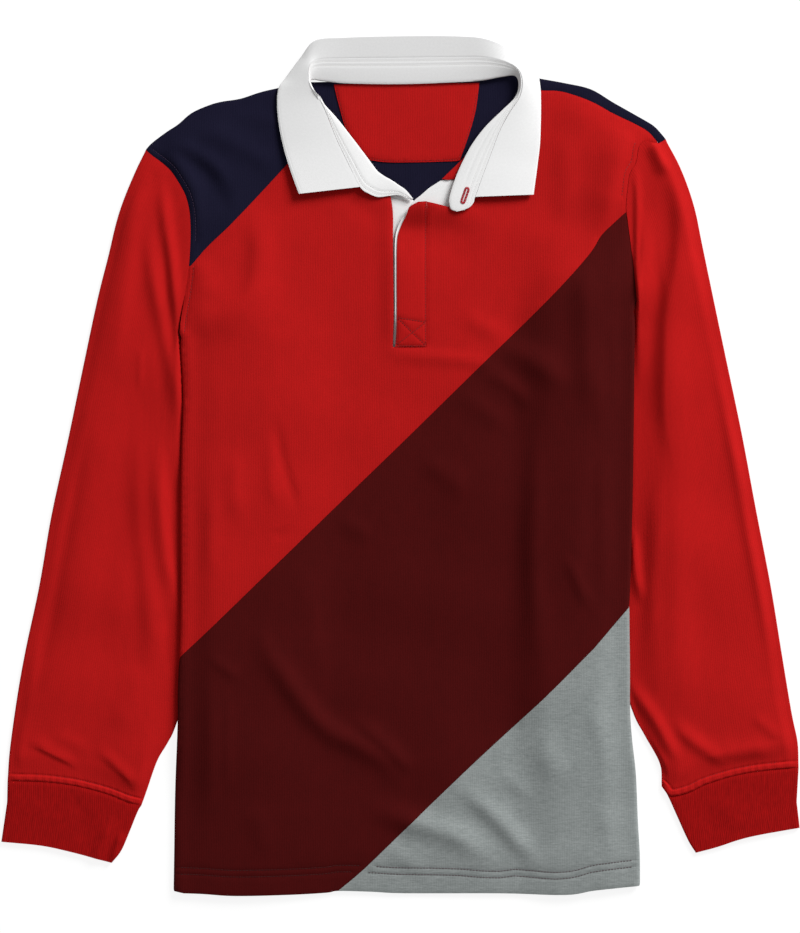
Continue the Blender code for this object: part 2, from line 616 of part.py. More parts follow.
def build_back():
    def armhole(table, side):
        """The front's armhole drawn in by a seam, so that the sleeve's lower layer stays clear."""
        points = armhole_points(table)[1:-1]
        return [(x - side * SEAM, y) for x, y in points]

    outline = np.concatenate([
        LEFT_SHOULDER[::-1], armhole(LEFT_ARMHOLE, -1), underarm(LEFT_UNDERARM, -1, RETURN_BACK),
        left_fold_points(40, HEM_TURNED[0] + 1.5, RETURN_BACK),
        [(float(left_bend(-410)) - BEND_SPAN, HEM_TURNED[0] + 1.5), (float(left_bend(-410)), -411.5)],
        [(x, y + 1.5) for x, y in HEM],
        [(float(right_bend(-406)), -406), (float(right_bend(-406)) + BEND_SPAN, HEM_TURNED[1] + 1.5)],
        right_fold_points(HEM_TURNED[1] + 1.5, 40, RETURN_BACK),
        underarm(RIGHT_UNDERARM, 1, RETURN_BACK)[::-1], armhole(RIGHT_ARMHOLE, 1)[::-1],
        RIGHT_SHOULDER, BACK_NECK[1:-1],
    ])
    wall("back_panel", divided(outline, BACK_GRID), panel_points(BACK_GRID), body_lift(back_top, BACK_BEND), NAVY)
    patch = divided(PATCH, FRONT_GRID)
    wall("back_neck_patch", patch, np.empty((0, 2)), sheet_lift(lambda x, y: 0 * x + UNDERLAP_BOTTOM, BAND), RED)


def build_placket():
    nothing = np.empty((0, 2))
    wall("placket_underlap", divided(UNDERLAP, FRONT_GRID), nothing,
         sheet_lift(lambda x, y: 0 * x + UNDERLAP_BOTTOM, BAND), WHITE)
    wall("placket_facing", divided(FACING, FRONT_GRID), nothing,
         sheet_lift(lambda x, y: 0 * x + FACING_BOTTOM, BAND), WHITE)
    wall("placket_overlap", divided(OVERLAP, FRONT_GRID), nothing,
         sheet_lift(lambda x, y: front_top(x, y) + OVERLAP_RAISE - JERSEY, JERSEY), RED)


# ---------------------------------------------------------------- sleeves and cuffs


def flat_tube(name, start, end, outer_side, inner_side, rows, across, height, thickness, top, colour):
    """A flattened tube between two cross lines and two long edges, each a table of (x, y).

    Rows run from start to end. A point of a row blends the four edges (a Coons patch). Each section is a
    flat ring with round ends; top(x, y, from_outer) is its upper face, and its lower face is on the table.
    """
    share = np.linspace(0, 1, rows)
    first, last = np.array(start, float), np.array(end, float)
    left, right = resampled(outer_side, rows), resampled(inner_side, rows)
    radius = height / 2

    def place(u, v):
        """Coons patch at shares u across and v along (arrays of one shape)."""
        steps = np.linspace(0, 1, len(first)), np.linspace(0, 1, len(last))
        low = np.stack([np.interp(u, steps[0], first[:, k]) for k in (0, 1)], axis=-1)
        high = np.stack([np.interp(u, steps[1], last[:, k]) for k in (0, 1)], axis=-1)
        one = np.stack([np.interp(v, share, left[:, k]) for k in (0, 1)], axis=-1)
        two = np.stack([np.interp(v, share, right[:, k]) for k in (0, 1)], axis=-1)
        u, v = u[..., None], v[..., None]
        corners = (1 - u) * ((1 - v) * first[0] + v * last[0]) + u * ((1 - v) * first[-1] + v * last[-1])
        return (1 - v) * low + v * high + (1 - u) * one + u * two - corners

    rings = []
    grid_u = np.linspace(0, 1, across)
    for inset in (0, thickness):
        r = radius - inset
        sections = []
        for v in share:
            row = place(grid_u, np.full(across, v))
            width = np.linalg.norm(np.diff(row, axis=0), axis=1).sum()
            ends = radius / width
            u = ends + (1 - 2 * ends) * grid_u
            xy = place(u, np.full(across, v))
            from_outer = u * width
            upper = top(xy[:, 0], xy[:, 1], from_outer, width - from_outer) - inset
            caps = []
            for at, sign in ((1 - ends, 1), (ends, -1)):
                angle = np.radians([60, 120]) if sign > 0 else np.radians([120, 60])
                cap_u = at + sign * r * np.sin(angle) / width
                cap = place(cap_u, np.full(2, v))
                caps.append(np.column_stack([cap, radius + r * np.cos(angle)]))
            upper_row = np.column_stack([xy, upper])
            lower_row = np.column_stack([xy, np.full(across, float(inset))])[::-1]
            sections.append(np.concatenate([upper_row, caps[0], lower_row, caps[1]]))
        rings.append(np.array(sections))
    return tube(name, rings[0], rings[1], colour)


def sleeve_top(edge, outward_side):
    """Upper face of a sleeve: level with the front at the armhole, low under the body, soft folds outside."""

    def top(x, y, from_outer, from_inner):
        body = edge(y)
        out = (x - body) * outward_side
        flat = 2 * JERSEY + LAY
        at_seam = (front_top(body, y) - flat) * smooth(134, 176, y)
        open_cloth = smooth(2, 26, out) * smooth(0, 24, from_outer) * smooth(0, 16, from_inner)
        hem = smooth(-326, -300, y)
        soft = SLEEVE_PUFF + folds(SLEEVE_FOLDS, x, y)
        near = folds(SLEEVE_FOLDS[:2] + SLEEVE_FOLDS[9:10], x, y) * smooth(1, 8, out) * smooth(0, 24, from_outer)
        return flat + at_seam * (1 - smooth(0, 26, out)) * smooth(0, 12, from_outer) + np.maximum(
            soft * open_cloth * hem, near * (1 - smooth(14, 26, out))
        )

    return top


def build_sleeves():
    for name, tip, armhole, cuff, outer, inner, edge, side in (
        ("sleeve_left", LEFT_SHOULDER[0], LEFT_ARMHOLE, LEFT_CUFF_SEAM, LEFT_SLEEVE_OUTER, LEFT_SLEEVE_INNER,
         left_edge, -1),
        ("sleeve_right", RIGHT_SHOULDER[0], RIGHT_ARMHOLE, RIGHT_CUFF_SEAM, RIGHT_SLEEVE_OUTER,
         RIGHT_SLEEVE_INNER, right_edge, 1),
    ):
        start = shifted([tip, *armhole], side * SEAM)
        start[-1] = inner[0]
        outer = [tuple(start[0]), *outer[1:]]
        flat_tube(name, start, cuff, outer, inner, SLEEVE_ROWS, len(start), 2 * JERSEY + LAY, JERSEY,
                  sleeve_top(edge, side), RED)


def build_cuffs():
    def top(x, y, from_outer, from_inner):
        return 0 * x + CUFF_HEIGHT

    for name, start, end, outer, inner, across, side in (
        ("cuff_left", LEFT_CUFF_SEAM, LEFT_CUFF_END, LEFT_CUFF_OUTER, LEFT_CUFF_INNER, len(LEFT_ARMHOLE), -1),
        ("cuff_right", RIGHT_CUFF_SEAM, RIGHT_CUFF_END, RIGHT_CUFF_OUTER, RIGHT_CUFF_INNER, len(RIGHT_ARMHOLE), 1),
    ):
        start = shifted(start, side * (SEAM + 0.2))
        outer, inner = [tuple(start[0]), *outer[1:]], [tuple(start[-1]), *inner[1:]]
        flat_tube(name, start, resampled(end, len(start)), outer, inner, CUFF_ROWS, across + 1, CUFF_HEIGHT, RIB,
                  top, DEEP_RED)


# ---------------------------------------------------------------- collar


def build_collar():
    stations = np.array(COLLAR, float)
    band = np.concatenate([LEFT_BAND_END, stations[:, :6], RIGHT_BAND_END])
    band = rounded(band, STATION_SPLIT)
    low, high = band[:, :3], band[:, 3:]
    share = np.linspace(0, 1, BAND_ACROSS)[None, :, None]
    bow = np.sin(math.pi * share) * np.array([0, 0, 0.8])
    face = low[:, None] * (1 - share) + high[:, None] * share + bow
    loft("collar_stand", thickened(face, TWILL), WHITE)

    fall = rounded(stations, STATION_SPLIT)
    start, edge = fall[:, 3:6], fall[:, 6:9]
    solid, tongue = np.clip(fall[:, 9], 0, 1), np.maximum(fall[:, 10], 0)
    away = edge - start
    away[:, 2] = 0
    width = np.linalg.norm(away, axis=1)[:, None]
    away = away / width
    first = len(LEFT_BAND_END) * STATION_SPLIT
    band_wall = (high - low)[first:first + len(fall)]
    steep = np.clip(band_wall[:, 2] / np.linalg.norm(band_wall, axis=1), 0, 1)
    start = start + away * (SEAM + FALL_CLEAR * steep)[:, None]
    share = np.linspace(0, 1, FALL_ACROSS)[None, :, None]
    upper = start[:, None] * (1 - share) + edge[:, None] * share
    bulge = FALL_BULGE * (start[:, 2] - edge[:, 2] + 4)
    upper[:, :, 2] += bulge[:, None] * np.sin(math.pi * share[..., 0]) * (1 - 0.4 * solid[:, None])
    depth = upper[:, :, 2] * solid[:, None] + TWILL * (1 - solid[:, None])
    lower = upper.copy()
    lower[:, :, 2] -= depth
    lower[:, -1, :2] -= away[:, :2] * (0.5 + 0.6 * solid[:, None])
    lower[:, :, 2] = np.maximum(lower[:, :, 2], 0)
    root, thick = lower[:, 0], upper[:, 0, 2] - lower[:, 0, 2]
    turned_in = np.clip(tongue, 0, 1)
    lift = np.minimum(TONGUE_HEIGHT, 0.5 * thick)
    tongue_low = root - away * tongue[:, None]
    tongue_high = tongue_low.copy()
    tongue_low[:, 2] = root[:, 2] + lift * 0.25 * (1 - turned_in)
    tongue_high[:, 2] = root[:, 2] + lift * (0.7 + 0.3 * turned_in)
    # The folded wall is hollow: its inner corners lie on the root's end face where it isn't folded.
    hollow = smooth(*HOLLOW_FROM, solid)[:, None]
    run = np.linalg.norm((lower[:, -1] - root)[:, :2], axis=1)[:, None]
    reach = hollow * (run - TWILL) / run
    floor = root * (1 - reach) + lower[:, -1] * reach
    roof = upper[:, 0] * (1 - reach) + upper[:, -1] * reach
    hollow = hollow[:, 0]
    corner_low, corner_high, root_under = floor.copy(), floor.copy(), root.copy()
    corner_low[:, 2] = (root[:, 2] + 0.55 * thick) * (1 - hollow) + (floor[:, 2] + TONGUE_HEIGHT) * hollow
    corner_high[:, 2] = (root[:, 2] + 0.7 * thick) * (1 - hollow) + (roof[:, 2] - TWILL) * hollow
    root_under[:, 2] = (root[:, 2] + 0.85 * thick) * (1 - hollow) + (upper[:, 0, 2] - TWILL) * hollow
    turned = np.stack([tongue_low, tongue_high, corner_low, corner_high, root_under], axis=1)
    ring = np.concatenate([upper, lower[:, ::-1], turned], axis=1)
    loft("collar_leaf", ring, WHITE)


def thickened(face, thickness):
    """Closed sections of a wall whose upper face is a grid of points, thickened along its normals."""
    across = np.gradient(face, axis=1)
    along = np.gradient(face, axis=0)
    normal = np.cross(along, across)
    normal /= np.linalg.norm(normal, axis=2)[..., None]
    normal *= np.sign(normal[..., 2:3].sum()) or 1
    return np.concatenate([face, (face - normal * thickness)[:, ::-1]], axis=1)


# ---------------------------------------------------------------- the whole shirt


def set_on_origin():
    """Moves every mesh so that the shirt's box is centred on the origin and stands on z = 0."""
    everything = [obj for obj in bpy.context.scene.objects if obj.type == "MESH"]
    points = np.array([v.co for obj in everything for v in obj.data.vertices])
    low, high = points.min(axis=0), points.max(axis=0)
    shift = Vector((-(low[0] + high[0]) / 2, -(low[1] + high[1]) / 2, 0))
    for obj in everything:
        for vertex in obj.data.vertices:
            vertex.co += shift
    print("box, mm:", np.round((high - low) / MM, 1), "shift, mm:", np.round(np.array(shift) / MM, 2))


def main():
    for obj in list(bpy.data.objects):
        bpy.data.objects.remove(obj, do_unlink=True)
    build_front()
    build_back()
    build_placket()
    build_sleeves()
    build_cuffs()
    build_collar()
    set_on_origin()


main()
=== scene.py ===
# %% [markdown]
# # A long-sleeved polo shirt, laid flat
#
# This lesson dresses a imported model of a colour-blocked shirt: jersey body and sleeves, ribbed cuffs and a
# white twill collar. The model's solids give every piece its place. Each piece is built again here as a
# finer shell of cloth with its creases, and then sewn.

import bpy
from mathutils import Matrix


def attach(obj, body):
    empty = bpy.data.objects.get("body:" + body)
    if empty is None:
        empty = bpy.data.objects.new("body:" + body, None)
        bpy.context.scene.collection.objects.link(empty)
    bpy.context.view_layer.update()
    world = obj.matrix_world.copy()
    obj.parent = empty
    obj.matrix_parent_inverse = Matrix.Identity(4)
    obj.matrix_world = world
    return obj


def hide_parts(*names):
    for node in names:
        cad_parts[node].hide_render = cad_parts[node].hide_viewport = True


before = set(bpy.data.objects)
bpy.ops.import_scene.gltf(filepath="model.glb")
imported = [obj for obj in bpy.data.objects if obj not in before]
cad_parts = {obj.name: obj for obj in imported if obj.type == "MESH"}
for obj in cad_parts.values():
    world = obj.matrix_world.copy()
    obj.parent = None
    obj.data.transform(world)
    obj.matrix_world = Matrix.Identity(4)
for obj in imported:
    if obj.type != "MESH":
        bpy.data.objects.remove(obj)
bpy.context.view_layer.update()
print("frame holds", len(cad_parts), "pieces")

# %% Blender, numpy and the units of the lesson
import math

import bpy
import numpy as np
from mathutils import Vector
from mathutils.geometry import delaunay_2d_cdt

MM = 0.001  # the tables below are in millimetres; a mesh is in metres
DRAWN_ZERO = np.array([-0.5, -0.13, 0.0])  # where the tables' zero lies in the frame, mm

# %% [markdown]
# ## Camera, light and table
#
# The shirt was photographed from straight above, so a long lens looks straight down. One picture height is
# 933 pixels of 0.97 mm. One low soft light stands far off, beyond the collar and to the right. It rakes over
# the cloth and draws the creases; a pale dome fills the shadows.

# %% Camera
PIXELS_HIGH, MM_PER_PIXEL = 933, 0.97
PICTURE_HEIGHT = PIXELS_HIGH * MM_PER_PIXEL * MM
SENSOR, LENS = 36.0, 200.0  # mm; the sensor's 36 mm lie along the picture's height
CLOTH_LEVEL = 0.006  # the height at which the scale above holds, m
PICTURE_MIDDLE = (-0.0005, -0.0006)  # where the picture's middle falls on the table, m
FAR_CLIP = 50  # m

camera_data = bpy.data.cameras.new("camera")
camera_data.sensor_width = SENSOR
camera_data.lens = LENS
camera_data.clip_end = FAR_CLIP
camera = bpy.data.objects.new("camera", camera_data)
camera.location = (*PICTURE_MIDDLE, CLOTH_LEVEL + PICTURE_HEIGHT * LENS / SENSOR)
bpy.context.scene.collection.objects.link(camera)
bpy.context.scene.camera = camera
bpy.context.scene.view_settings.view_transform = "Standard"
print("camera stands", round(camera.location.z, 2), "m over the table")


# %% Lights
KEY_PLACE = (3.9, 4.64, 3.5)  # 40 degrees to the right of the collar's direction and 30 degrees up, m
KEY_SIZE, KEY_POWER = 3.0, 690  # m, W
DOME_STRENGTH = 0.34
WHITE = (1, 1, 1, 1)


def area_light(name, place, size, power):
    """A square soft light of the given size at a place, turned towards the shirt."""
    light = bpy.data.lights.new(name, "AREA")
    light.size, light.energy = size, power
    lamp = bpy.data.objects.new(name, light)
    lamp.location = place
    lamp.rotation_euler = Vector(place).to_track_quat("Z", "Y").to_euler()
    bpy.context.scene.collection.objects.link(lamp)


area_light("key_light", KEY_PLACE, KEY_SIZE, KEY_POWER)
world = bpy.data.worlds.new("studio")
world.use_nodes = True
dome = world.node_tree.nodes["Background"]
dome.inputs["Color"].default_value, dome.inputs["Strength"].default_value = WHITE, DOME_STRENGTH
bpy.context.scene.world = world
print("key light", round(Vector(KEY_PLACE).length, 1), "m away, dome at", DOME_STRENGTH)

# %% [markdown]
# ## Finishes
#
# Every finish starts from what the cloth is. Combed cotton jersey is matt, with upright wales and a short
# nap that catches light at grazing angles; heather grey mixes light and dark fibre in level streaks; the
# collar is a plain-dyed cotton twill; the cuffs are rib knit. The wales of fine jersey are about 0.8 mm
# apart, too fine for this picture, so they are drawn 2.3 mm apart, as they read in a photograph.

# %% Colours, nodes and materials
def linear(hex_colour):
    """The linear colour of an sRGB hex value."""
    parts = np.array([int(hex_colour[i:i + 2], 16) for i in (1, 3, 5)]) / 255
    return (*np.where(parts <= 0.04045, parts / 12.92, ((parts + 0.055) / 1.055) ** 2.4), 1)


def add_node(tree, kind, links=(), **settings):
    """A new node. links are (input, socket or value) pairs; settings are its own properties."""
    node = tree.nodes.new(kind)
    for key, value in settings.items():
        setattr(node, key, value)
    for key, value in links:
        if isinstance(value, bpy.types.NodeSocket):
            tree.links.new(value, node.inputs[key])
        else:
            node.inputs[key].default_value = value
    return node


def new_material(name, roughness, sheen=0.0, sheen_tint="#FFFFFF", specular=0.05):
    """A Principled material; gives its tree and shader. What is even all over is set on the shader."""
    material = bpy.data.materials.new(name)
    material.use_nodes = True
    tree = material.node_tree
    shader = tree.nodes["Principled BSDF"]
    shader.inputs["Roughness"].default_value = roughness
    shader.inputs["Specular IOR Level"].default_value = specular
    shader.inputs["Sheen Weight"].default_value = sheen
    shader.inputs["Sheen Roughness"].default_value = 0.5
    shader.inputs["Sheen Tint"].default_value = linear(sheen_tint)
    return material, tree, shader


print("mid grey is", round(float(linear("#808080")[0]), 3), "in linear light")


# %% Grain and relief
def scaled_map(tree, across, along):
    """The piece's own cloth map, in metres, stretched so that 1 is across by along millimetres."""
    source = add_node(tree, "ShaderNodeUVMap", uv_map="cloth")
    scale = (1000 / across, 1000 / along, 1)
    return add_node(tree, "ShaderNodeMapping", [("Vector", source.outputs[0]), ("Scale", scale)]).outputs[0]


def streaks(tree, across, along, detail=2.0):
    """Noise whose grains are across by along millimetres."""
    where = scaled_map(tree, across, along)
    grain = [("Vector", where), ("Scale", 1.0), ("Detail", detail), ("Roughness", 0.6)]
    return add_node(tree, "ShaderNodeTexNoise", grain, noise_dimensions="2D").outputs["Fac"]


def math_node(tree, operation, first, second=0.0):
    """The result of one sum on two sockets or values."""
    return add_node(tree, "ShaderNodeMath", [(0, first), (1, second)], operation=operation).outputs[0]


def weighted(tree, *parts):
    """w1 s1 + w2 s2 + ..., from (socket, weight) pairs."""
    total = None
    for socket, weight in parts:
        part = socket if weight == 1 else math_node(tree, "MULTIPLY", socket, weight)
        total = part if total is None else math_node(tree, "ADD", total, part)
    return total


def wave(tree, turns):
    """sin(2 pi turns)."""
    return math_node(tree, "SINE", math_node(tree, "MULTIPLY", turns, 2 * math.pi))


def knit(tree, pitch):
    """Height of the knit: a sine across the wales, each wale a little uneven."""
    split = add_node(tree, "ShaderNodeSeparateXYZ", [(0, scaled_map(tree, pitch, pitch))])
    return wave(tree, weighted(tree, (split.outputs[0], 1), (streaks(tree, 3 * pitch, 14 * pitch), 1.2)))


def dyed(tree, shader, factor, dark, light):
    """Colours the cloth from dark to light as the factor goes from 0 to 1."""
    ends = [(0, factor), (6, linear(dark)), (7, linear(light))]
    mix = add_node(tree, "ShaderNodeMix", ends, data_type="RGBA")
    tree.links.new(mix.outputs[2], shader.inputs["Base Color"])


def bumped(tree, shader, height, strength, distance_mm):
    """Gives the shader the fine relief of the given height."""
    sizes = [("Height", height), ("Strength", strength), ("Distance", distance_mm * MM)]
    bump = add_node(tree, "ShaderNodeBump", sizes)
    tree.links.new(bump.outputs[0], shader.inputs["Normal"])


# %% Knitted cloths
WALE, RIB_PITCH = 2.3, 1.9  # mm from one wale or rib to the next, as drawn


def jersey(name, dark, light, tint, sheen=0.25):
    """Fine cotton jersey: the dye shifts a little along the wales, and between the wales it is darker."""
    material, tree, shader = new_material(name, 0.9, sheen, tint)
    wales = knit(tree, WALE)
    shade = weighted(tree, (streaks(tree, 11, 17), 0.3), (streaks(tree, 1.1, 2.0), 0.6), (wales, 0.05))
    dyed(tree, shader, shade, dark, light)
    bumped(tree, shader, weighted(tree, (wales, 0.3), (streaks(tree, 0.9, 1.6), 1)), 0.35, 0.35)
    return material


def heather(name, dark, light):
    """Heather jersey: streaks of light and dark fibre lie level, 3 to 12 mm long."""
    material, tree, shader = new_material(name, 0.92, 0.2, "#DDE2E2")
    long_streak, short_streak = streaks(tree, 11, 1.5, 3), streaks(tree, 3.2, 1.3, 3)
    shade = weighted(tree, (long_streak, 0.62), (short_streak, 0.45), (streaks(tree, 26, 18), 0.22))
    dyed(tree, shader, math_node(tree, "SUBTRACT", shade, 0.14), dark, light)
    height = weighted(tree, (knit(tree, WALE), 0.25), (streaks(tree, 1.6, 1.0), 1))
    bumped(tree, shader, height, 0.35, 0.35)
    return material


def rib(name, dark, light, tint):
    """Rib knit: narrow upright ribs, softly furred."""
    material, tree, shader = new_material(name, 0.92, 0.25, tint)
    ribs = knit(tree, RIB_PITCH)
    dyed(tree, shader, weighted(tree, (ribs, 0.1), (streaks(tree, 3, 9), 1)), dark, light)
    bumped(tree, shader, weighted(tree, (ribs, 1), (streaks(tree, 1.0, 1.6), 1)), 0.35, 0.3)
    return material


# %% Woven cloth and thread
TWILL_PITCH = 1.6  # mm from one diagonal rib to the next, as drawn
PLY = 0.6  # mm of a thread's twist


def twill(name, dark, light):
    """Cotton twill: very fine diagonal ribs on a smooth pressed cloth."""
    material, tree, shader = new_material(name, 0.8, 0.04, "#FFFFFF", 0.15)
    split = add_node(tree, "ShaderNodeSeparateXYZ", [(0, scaled_map(tree, TWILL_PITCH, TWILL_PITCH))])
    ribs = wave(tree, weighted(tree, (split.outputs[0], 1), (split.outputs[1], 1)))
    dyed(tree, shader, weighted(tree, (ribs, 0.1), (streaks(tree, 2, 2), 1)), dark, light)
    bumped(tree, shader, weighted(tree, (ribs, 1), (streaks(tree, 1.2, 1.2), 1)), 0.06, 0.2)
    return material


def thread(name, colour):
    """Sewing thread: spun polyester, with a faint gloss along the ply."""
    material, tree, shader = new_material(name, 0.6, 0.1, "#FFFFFF", 0.35)
    place = add_node(tree, "ShaderNodeTexCoord")
    twist = [("Vector", place.outputs["Object"]), ("Scale", 1 / (PLY * MM))]
    ply = add_node(tree, "ShaderNodeTexNoise", twist)
    shader.inputs["Base Color"].default_value = linear(colour)
    bumped(tree, shader, ply.outputs["Fac"], 0.3, 0.1)
    return material


# %% The shirt's own cloths and threads
RED_JERSEY = jersey("red_cotton_jersey", "#991312", "#B81717", "#D02020")
# The sleeves take a lighter copy of the red jersey: painted light, which brightens them a little.
LIT_SLEEVE_JERSEY = jersey("red_jersey_painted_lighter", "#9A1312", "#BA1717", "#D02020")
MAROON_JERSEY = jersey("maroon_cotton_jersey", "#3B0909", "#4F0D0D", "#701818", sheen=0.1)
NAVY_JERSEY = jersey("navy_cotton_jersey", "#111022", "#1B192C", "#30305A", sheen=0.1)
GREY_JERSEY = heather("heather_grey_jersey", "#656B6A", "#9EA3A2")
RED_RIB = rib("red_rib_knit", "#830B0B", "#A00F0F", "#B82020")
WHITE_TWILL = twill("white_cotton_twill", "#DDDDDD", "#E6E6E6")
RED_THREAD = thread("red_thread", "#741014")
MAROON_THREAD = thread("maroon_thread", "#3A0C0E")
NAVY_THREAD = thread("navy_thread", "#3A2440")
HEM_THREAD = thread("plum_thread", "#43232C")
WHITE_THREAD = thread("white_thread", "#D6D4D2")
BUTTONHOLE_THREAD = thread("buttonhole_thread", "#A81426")
print(len(bpy.data.materials), "cloths and threads")

# %% [markdown]
# ## The table
#
# A pale table glows like a light box, so that the shirt's shadow on it stays faint. Under the shirt, inside
# its outline, lies a grey sheet without that glow. It stands in for the shade under the shirt, so that no
# glow comes up through the seams.

# %% Table, and a sheet for the shade under the shirt
TABLE_HALF = 4.0  # m
TABLE_DROP, SHADE_SHEET_DROP = 0.0003, 0.0002  # m, so that the cloth's underside doesn't share their planes
TABLE_GLOW, SHADE_SHEET_GLOW = 0.87, 0.0
STAGE_GREY = "#6E6E6E"


def flat_stage(name, outline, drop, glow):
    """A level sheet of the stage, from its corners in metres."""
    mesh = bpy.data.meshes.new(name)
    mesh.from_pydata([(x, y, -drop) for x, y in outline], [], [tuple(range(len(outline)))])
    sheet = bpy.data.objects.new(name, mesh)
    bpy.context.scene.collection.objects.link(sheet)
    paint, _, shader = new_material(name + "_paint", 0.9)
    shader.inputs["Base Color"].default_value = linear(STAGE_GREY)
    shader.inputs["Emission Color"].default_value = WHITE
    shader.inputs["Emission Strength"].default_value = glow
    mesh.materials.append(paint)
    print(name, "lies", round(drop / MM, 1), "mm down and glows", glow)


CORNERS = ((-1, -1), (1, -1), (1, 1), (-1, 1))
flat_stage("table_top", [(x * TABLE_HALF, y * TABLE_HALF) for x, y in CORNERS], TABLE_DROP, TABLE_GLOW)
# A grey sheet without glow inside the shirt's outline: it stands in for the shade under the shirt.
flat_stage("shade_sheet", [
    (-0.205, -0.395), (0.215, -0.395), (0.215, 0.06), (0.24, 0.06), (0.24, 0.3), (-0.24, 0.3), (-0.24, 0.06),
    (-0.205, 0.06),
], SHADE_SHEET_DROP, SHADE_SHEET_GLOW)

# %% [markdown]
# ## Curves
#
# A shirt's pattern is a handful of curves: side edges, armholes, seams, neckline and hem. Each is a short
# table of points that a Catmull-Rom curve rounds off. "Left" and "right" are as the camera sees them.

# %% Curve helpers
ROUND = 5  # steps of a rounded curve between two rows of its table


def smooth(low, high, value):
    """0 below low, 1 above high, and 3t^2 - 2t^3 between."""
    share = np.clip((np.asarray(value, float) - low) / (high - low), 0, 1)
    return share * share * (3 - 2 * share)


def rounded(points, steps=ROUND):
    """Catmull-Rom curve through the points: for each stretch from b to c, half of
    2b + (c - a) t + (2a - 5b + 4c - d) t^2 + (3b - a - 3c + d) t^3, whose slopes match."""
    points = np.array(points, float)
    ends = np.concatenate([[2 * points[0] - points[1]], points, [2 * points[-1] - points[-2]]])
    a, b, c, d = (ends[i:len(ends) - 3 + i, None] for i in range(4))
    t = (np.arange(steps) / steps)[None, :, None]
    curve = 0.5 * (2 * b + (c - a) * t + (2 * a - 5 * b + 4 * c - d) * t**2 + (3 * b - a - 3 * c + d) * t**3)
    return np.concatenate([curve.reshape(-1, points.shape[1]), points[-1:]])


def shifted(points, distance):
    """The curve moved sideways, to the left of its direction."""
    points = np.array(points, float)
    along = np.gradient(points, axis=0)
    along /= np.maximum(np.linalg.norm(along, axis=1)[:, None], 1e-9)
    return points + distance * np.stack([-along[:, 1], along[:, 0]], axis=1)


print("a corner of three points rounds off to", len(rounded([(0, 0), (1, 0), (1, 1)])), "points")


# %% Points along a curve
def shares_of(points):
    """How far along its curve each point lies, from 0 to 1."""
    length = np.concatenate([[0], np.cumsum(np.linalg.norm(np.diff(points, axis=0), axis=1))])
    return length / length[-1]


def at_shares(points, wanted):
    """The curve's points at the wanted shares of its length."""
    points = np.array(points, float)
    own = shares_of(points)
    return np.stack([np.interp(wanted, own, points[:, k]) for k in range(points.shape[1])], axis=-1)


def resampled(points, count):
    """count points spaced evenly along a curve."""
    return at_shares(points, np.linspace(0, 1, count))


def at_y(table, y):
    """x of a (y, x) curve at each y."""
    return np.interp(y, table[:, 0], table[:, 1])


# %% Sizes of the cloth, as in the model, mm
JERSEY, TWILL, RIB, BAND = 1.2, 1.5, 1.5, 1.0  # walls
LAY = 0.4  # gap between two layers that lie on each other
SEAM = 0.08  # half the gap between two pieces sewn edge to edge
SLEEVE_STACK = 2 * JERSEY + 2 * LAY
FRONT_BEND, BACK_BEND = 2.6, 1.0  # mid radii of the half turns at the body's sides
BEND_OUTER = FRONT_BEND + JERSEY / 2
RETURN_FRONT, RETURN_BACK = 75.0, 72.0  # how far the body runs back under its sides
SIDE_LEVEL = 78.0  # the body is level this far in from each side
LEFT_FALL, RIGHT_FALL = 165.0, 120.0  # and has come down to the table this far in
print("a turned side over a sleeve stands", round(SLEEVE_STACK + 2 * BEND_OUTER, 1), "mm high")

# %% Sides and armholes of the body, x and y in mm
LEFT_SIDE = rounded([
    (-416, -219.8), (-377, -219.2), (-315, -218.2), (-253, -215.8), (-212, -215.3), (-149, -212.8),
    (-37, -212.8), (22, -211.8), (66, -210.5), (121, -213.6), (131, -217.5), (160, -224), (320, -252),
])  # rows here are y, x
RIGHT_SIDE = rounded([
    (-416, 232.8), (-379, 232.8), (-345, 230.9), (-299, 228.9), (-264, 225), (-234, 223.1), (-195, 223.1),
    (-138, 222.6), (-96, 224.1), (-17, 226), (62, 227), (131, 227.9), (158, 229.2), (168, 233.5),
    (320, 268),
])
LEFT_ARMHOLE = rounded([
    (-245.9, 306), (-239.6, 300.7), (-230.4, 293.9), (-222.1, 286.1), (-214.4, 274.5), (-208.5, 263.8),
    (-204.7, 250.3), (-203.3, 236), (-203.3, 218), (-204.7, 194), (-208, 168), (-211.5, 148), (-213.9, 130),
])
RIGHT_ARMHOLE = rounded([
    (251, 313), (244, 314), (237, 315.6), (232, 309.6), (229, 294), (223.3, 284), (221, 268.7),
    (219.4, 250.7), (221, 236.7), (224.1, 212.4), (227, 188.2), (229, 166), (229.6, 157),
])
SHOULDER_ROW, CHEST_ROW = 9 * ROUND, 7 * ROUND  # where the two seams meet the armholes
LEFT_UNDERARM = [(0.8, 124), (4, 117), (10, 106), (30, 88), (54, 72), (83, 64)]  # past the side, y
RIGHT_UNDERARM = [(1, 150), (4, 141), (10, 126), (30, 100), (54, 78), (83, 64)]
print("the sides lie", round(float(at_y(RIGHT_SIDE, 0) - at_y(LEFT_SIDE, 0))), "mm apart")

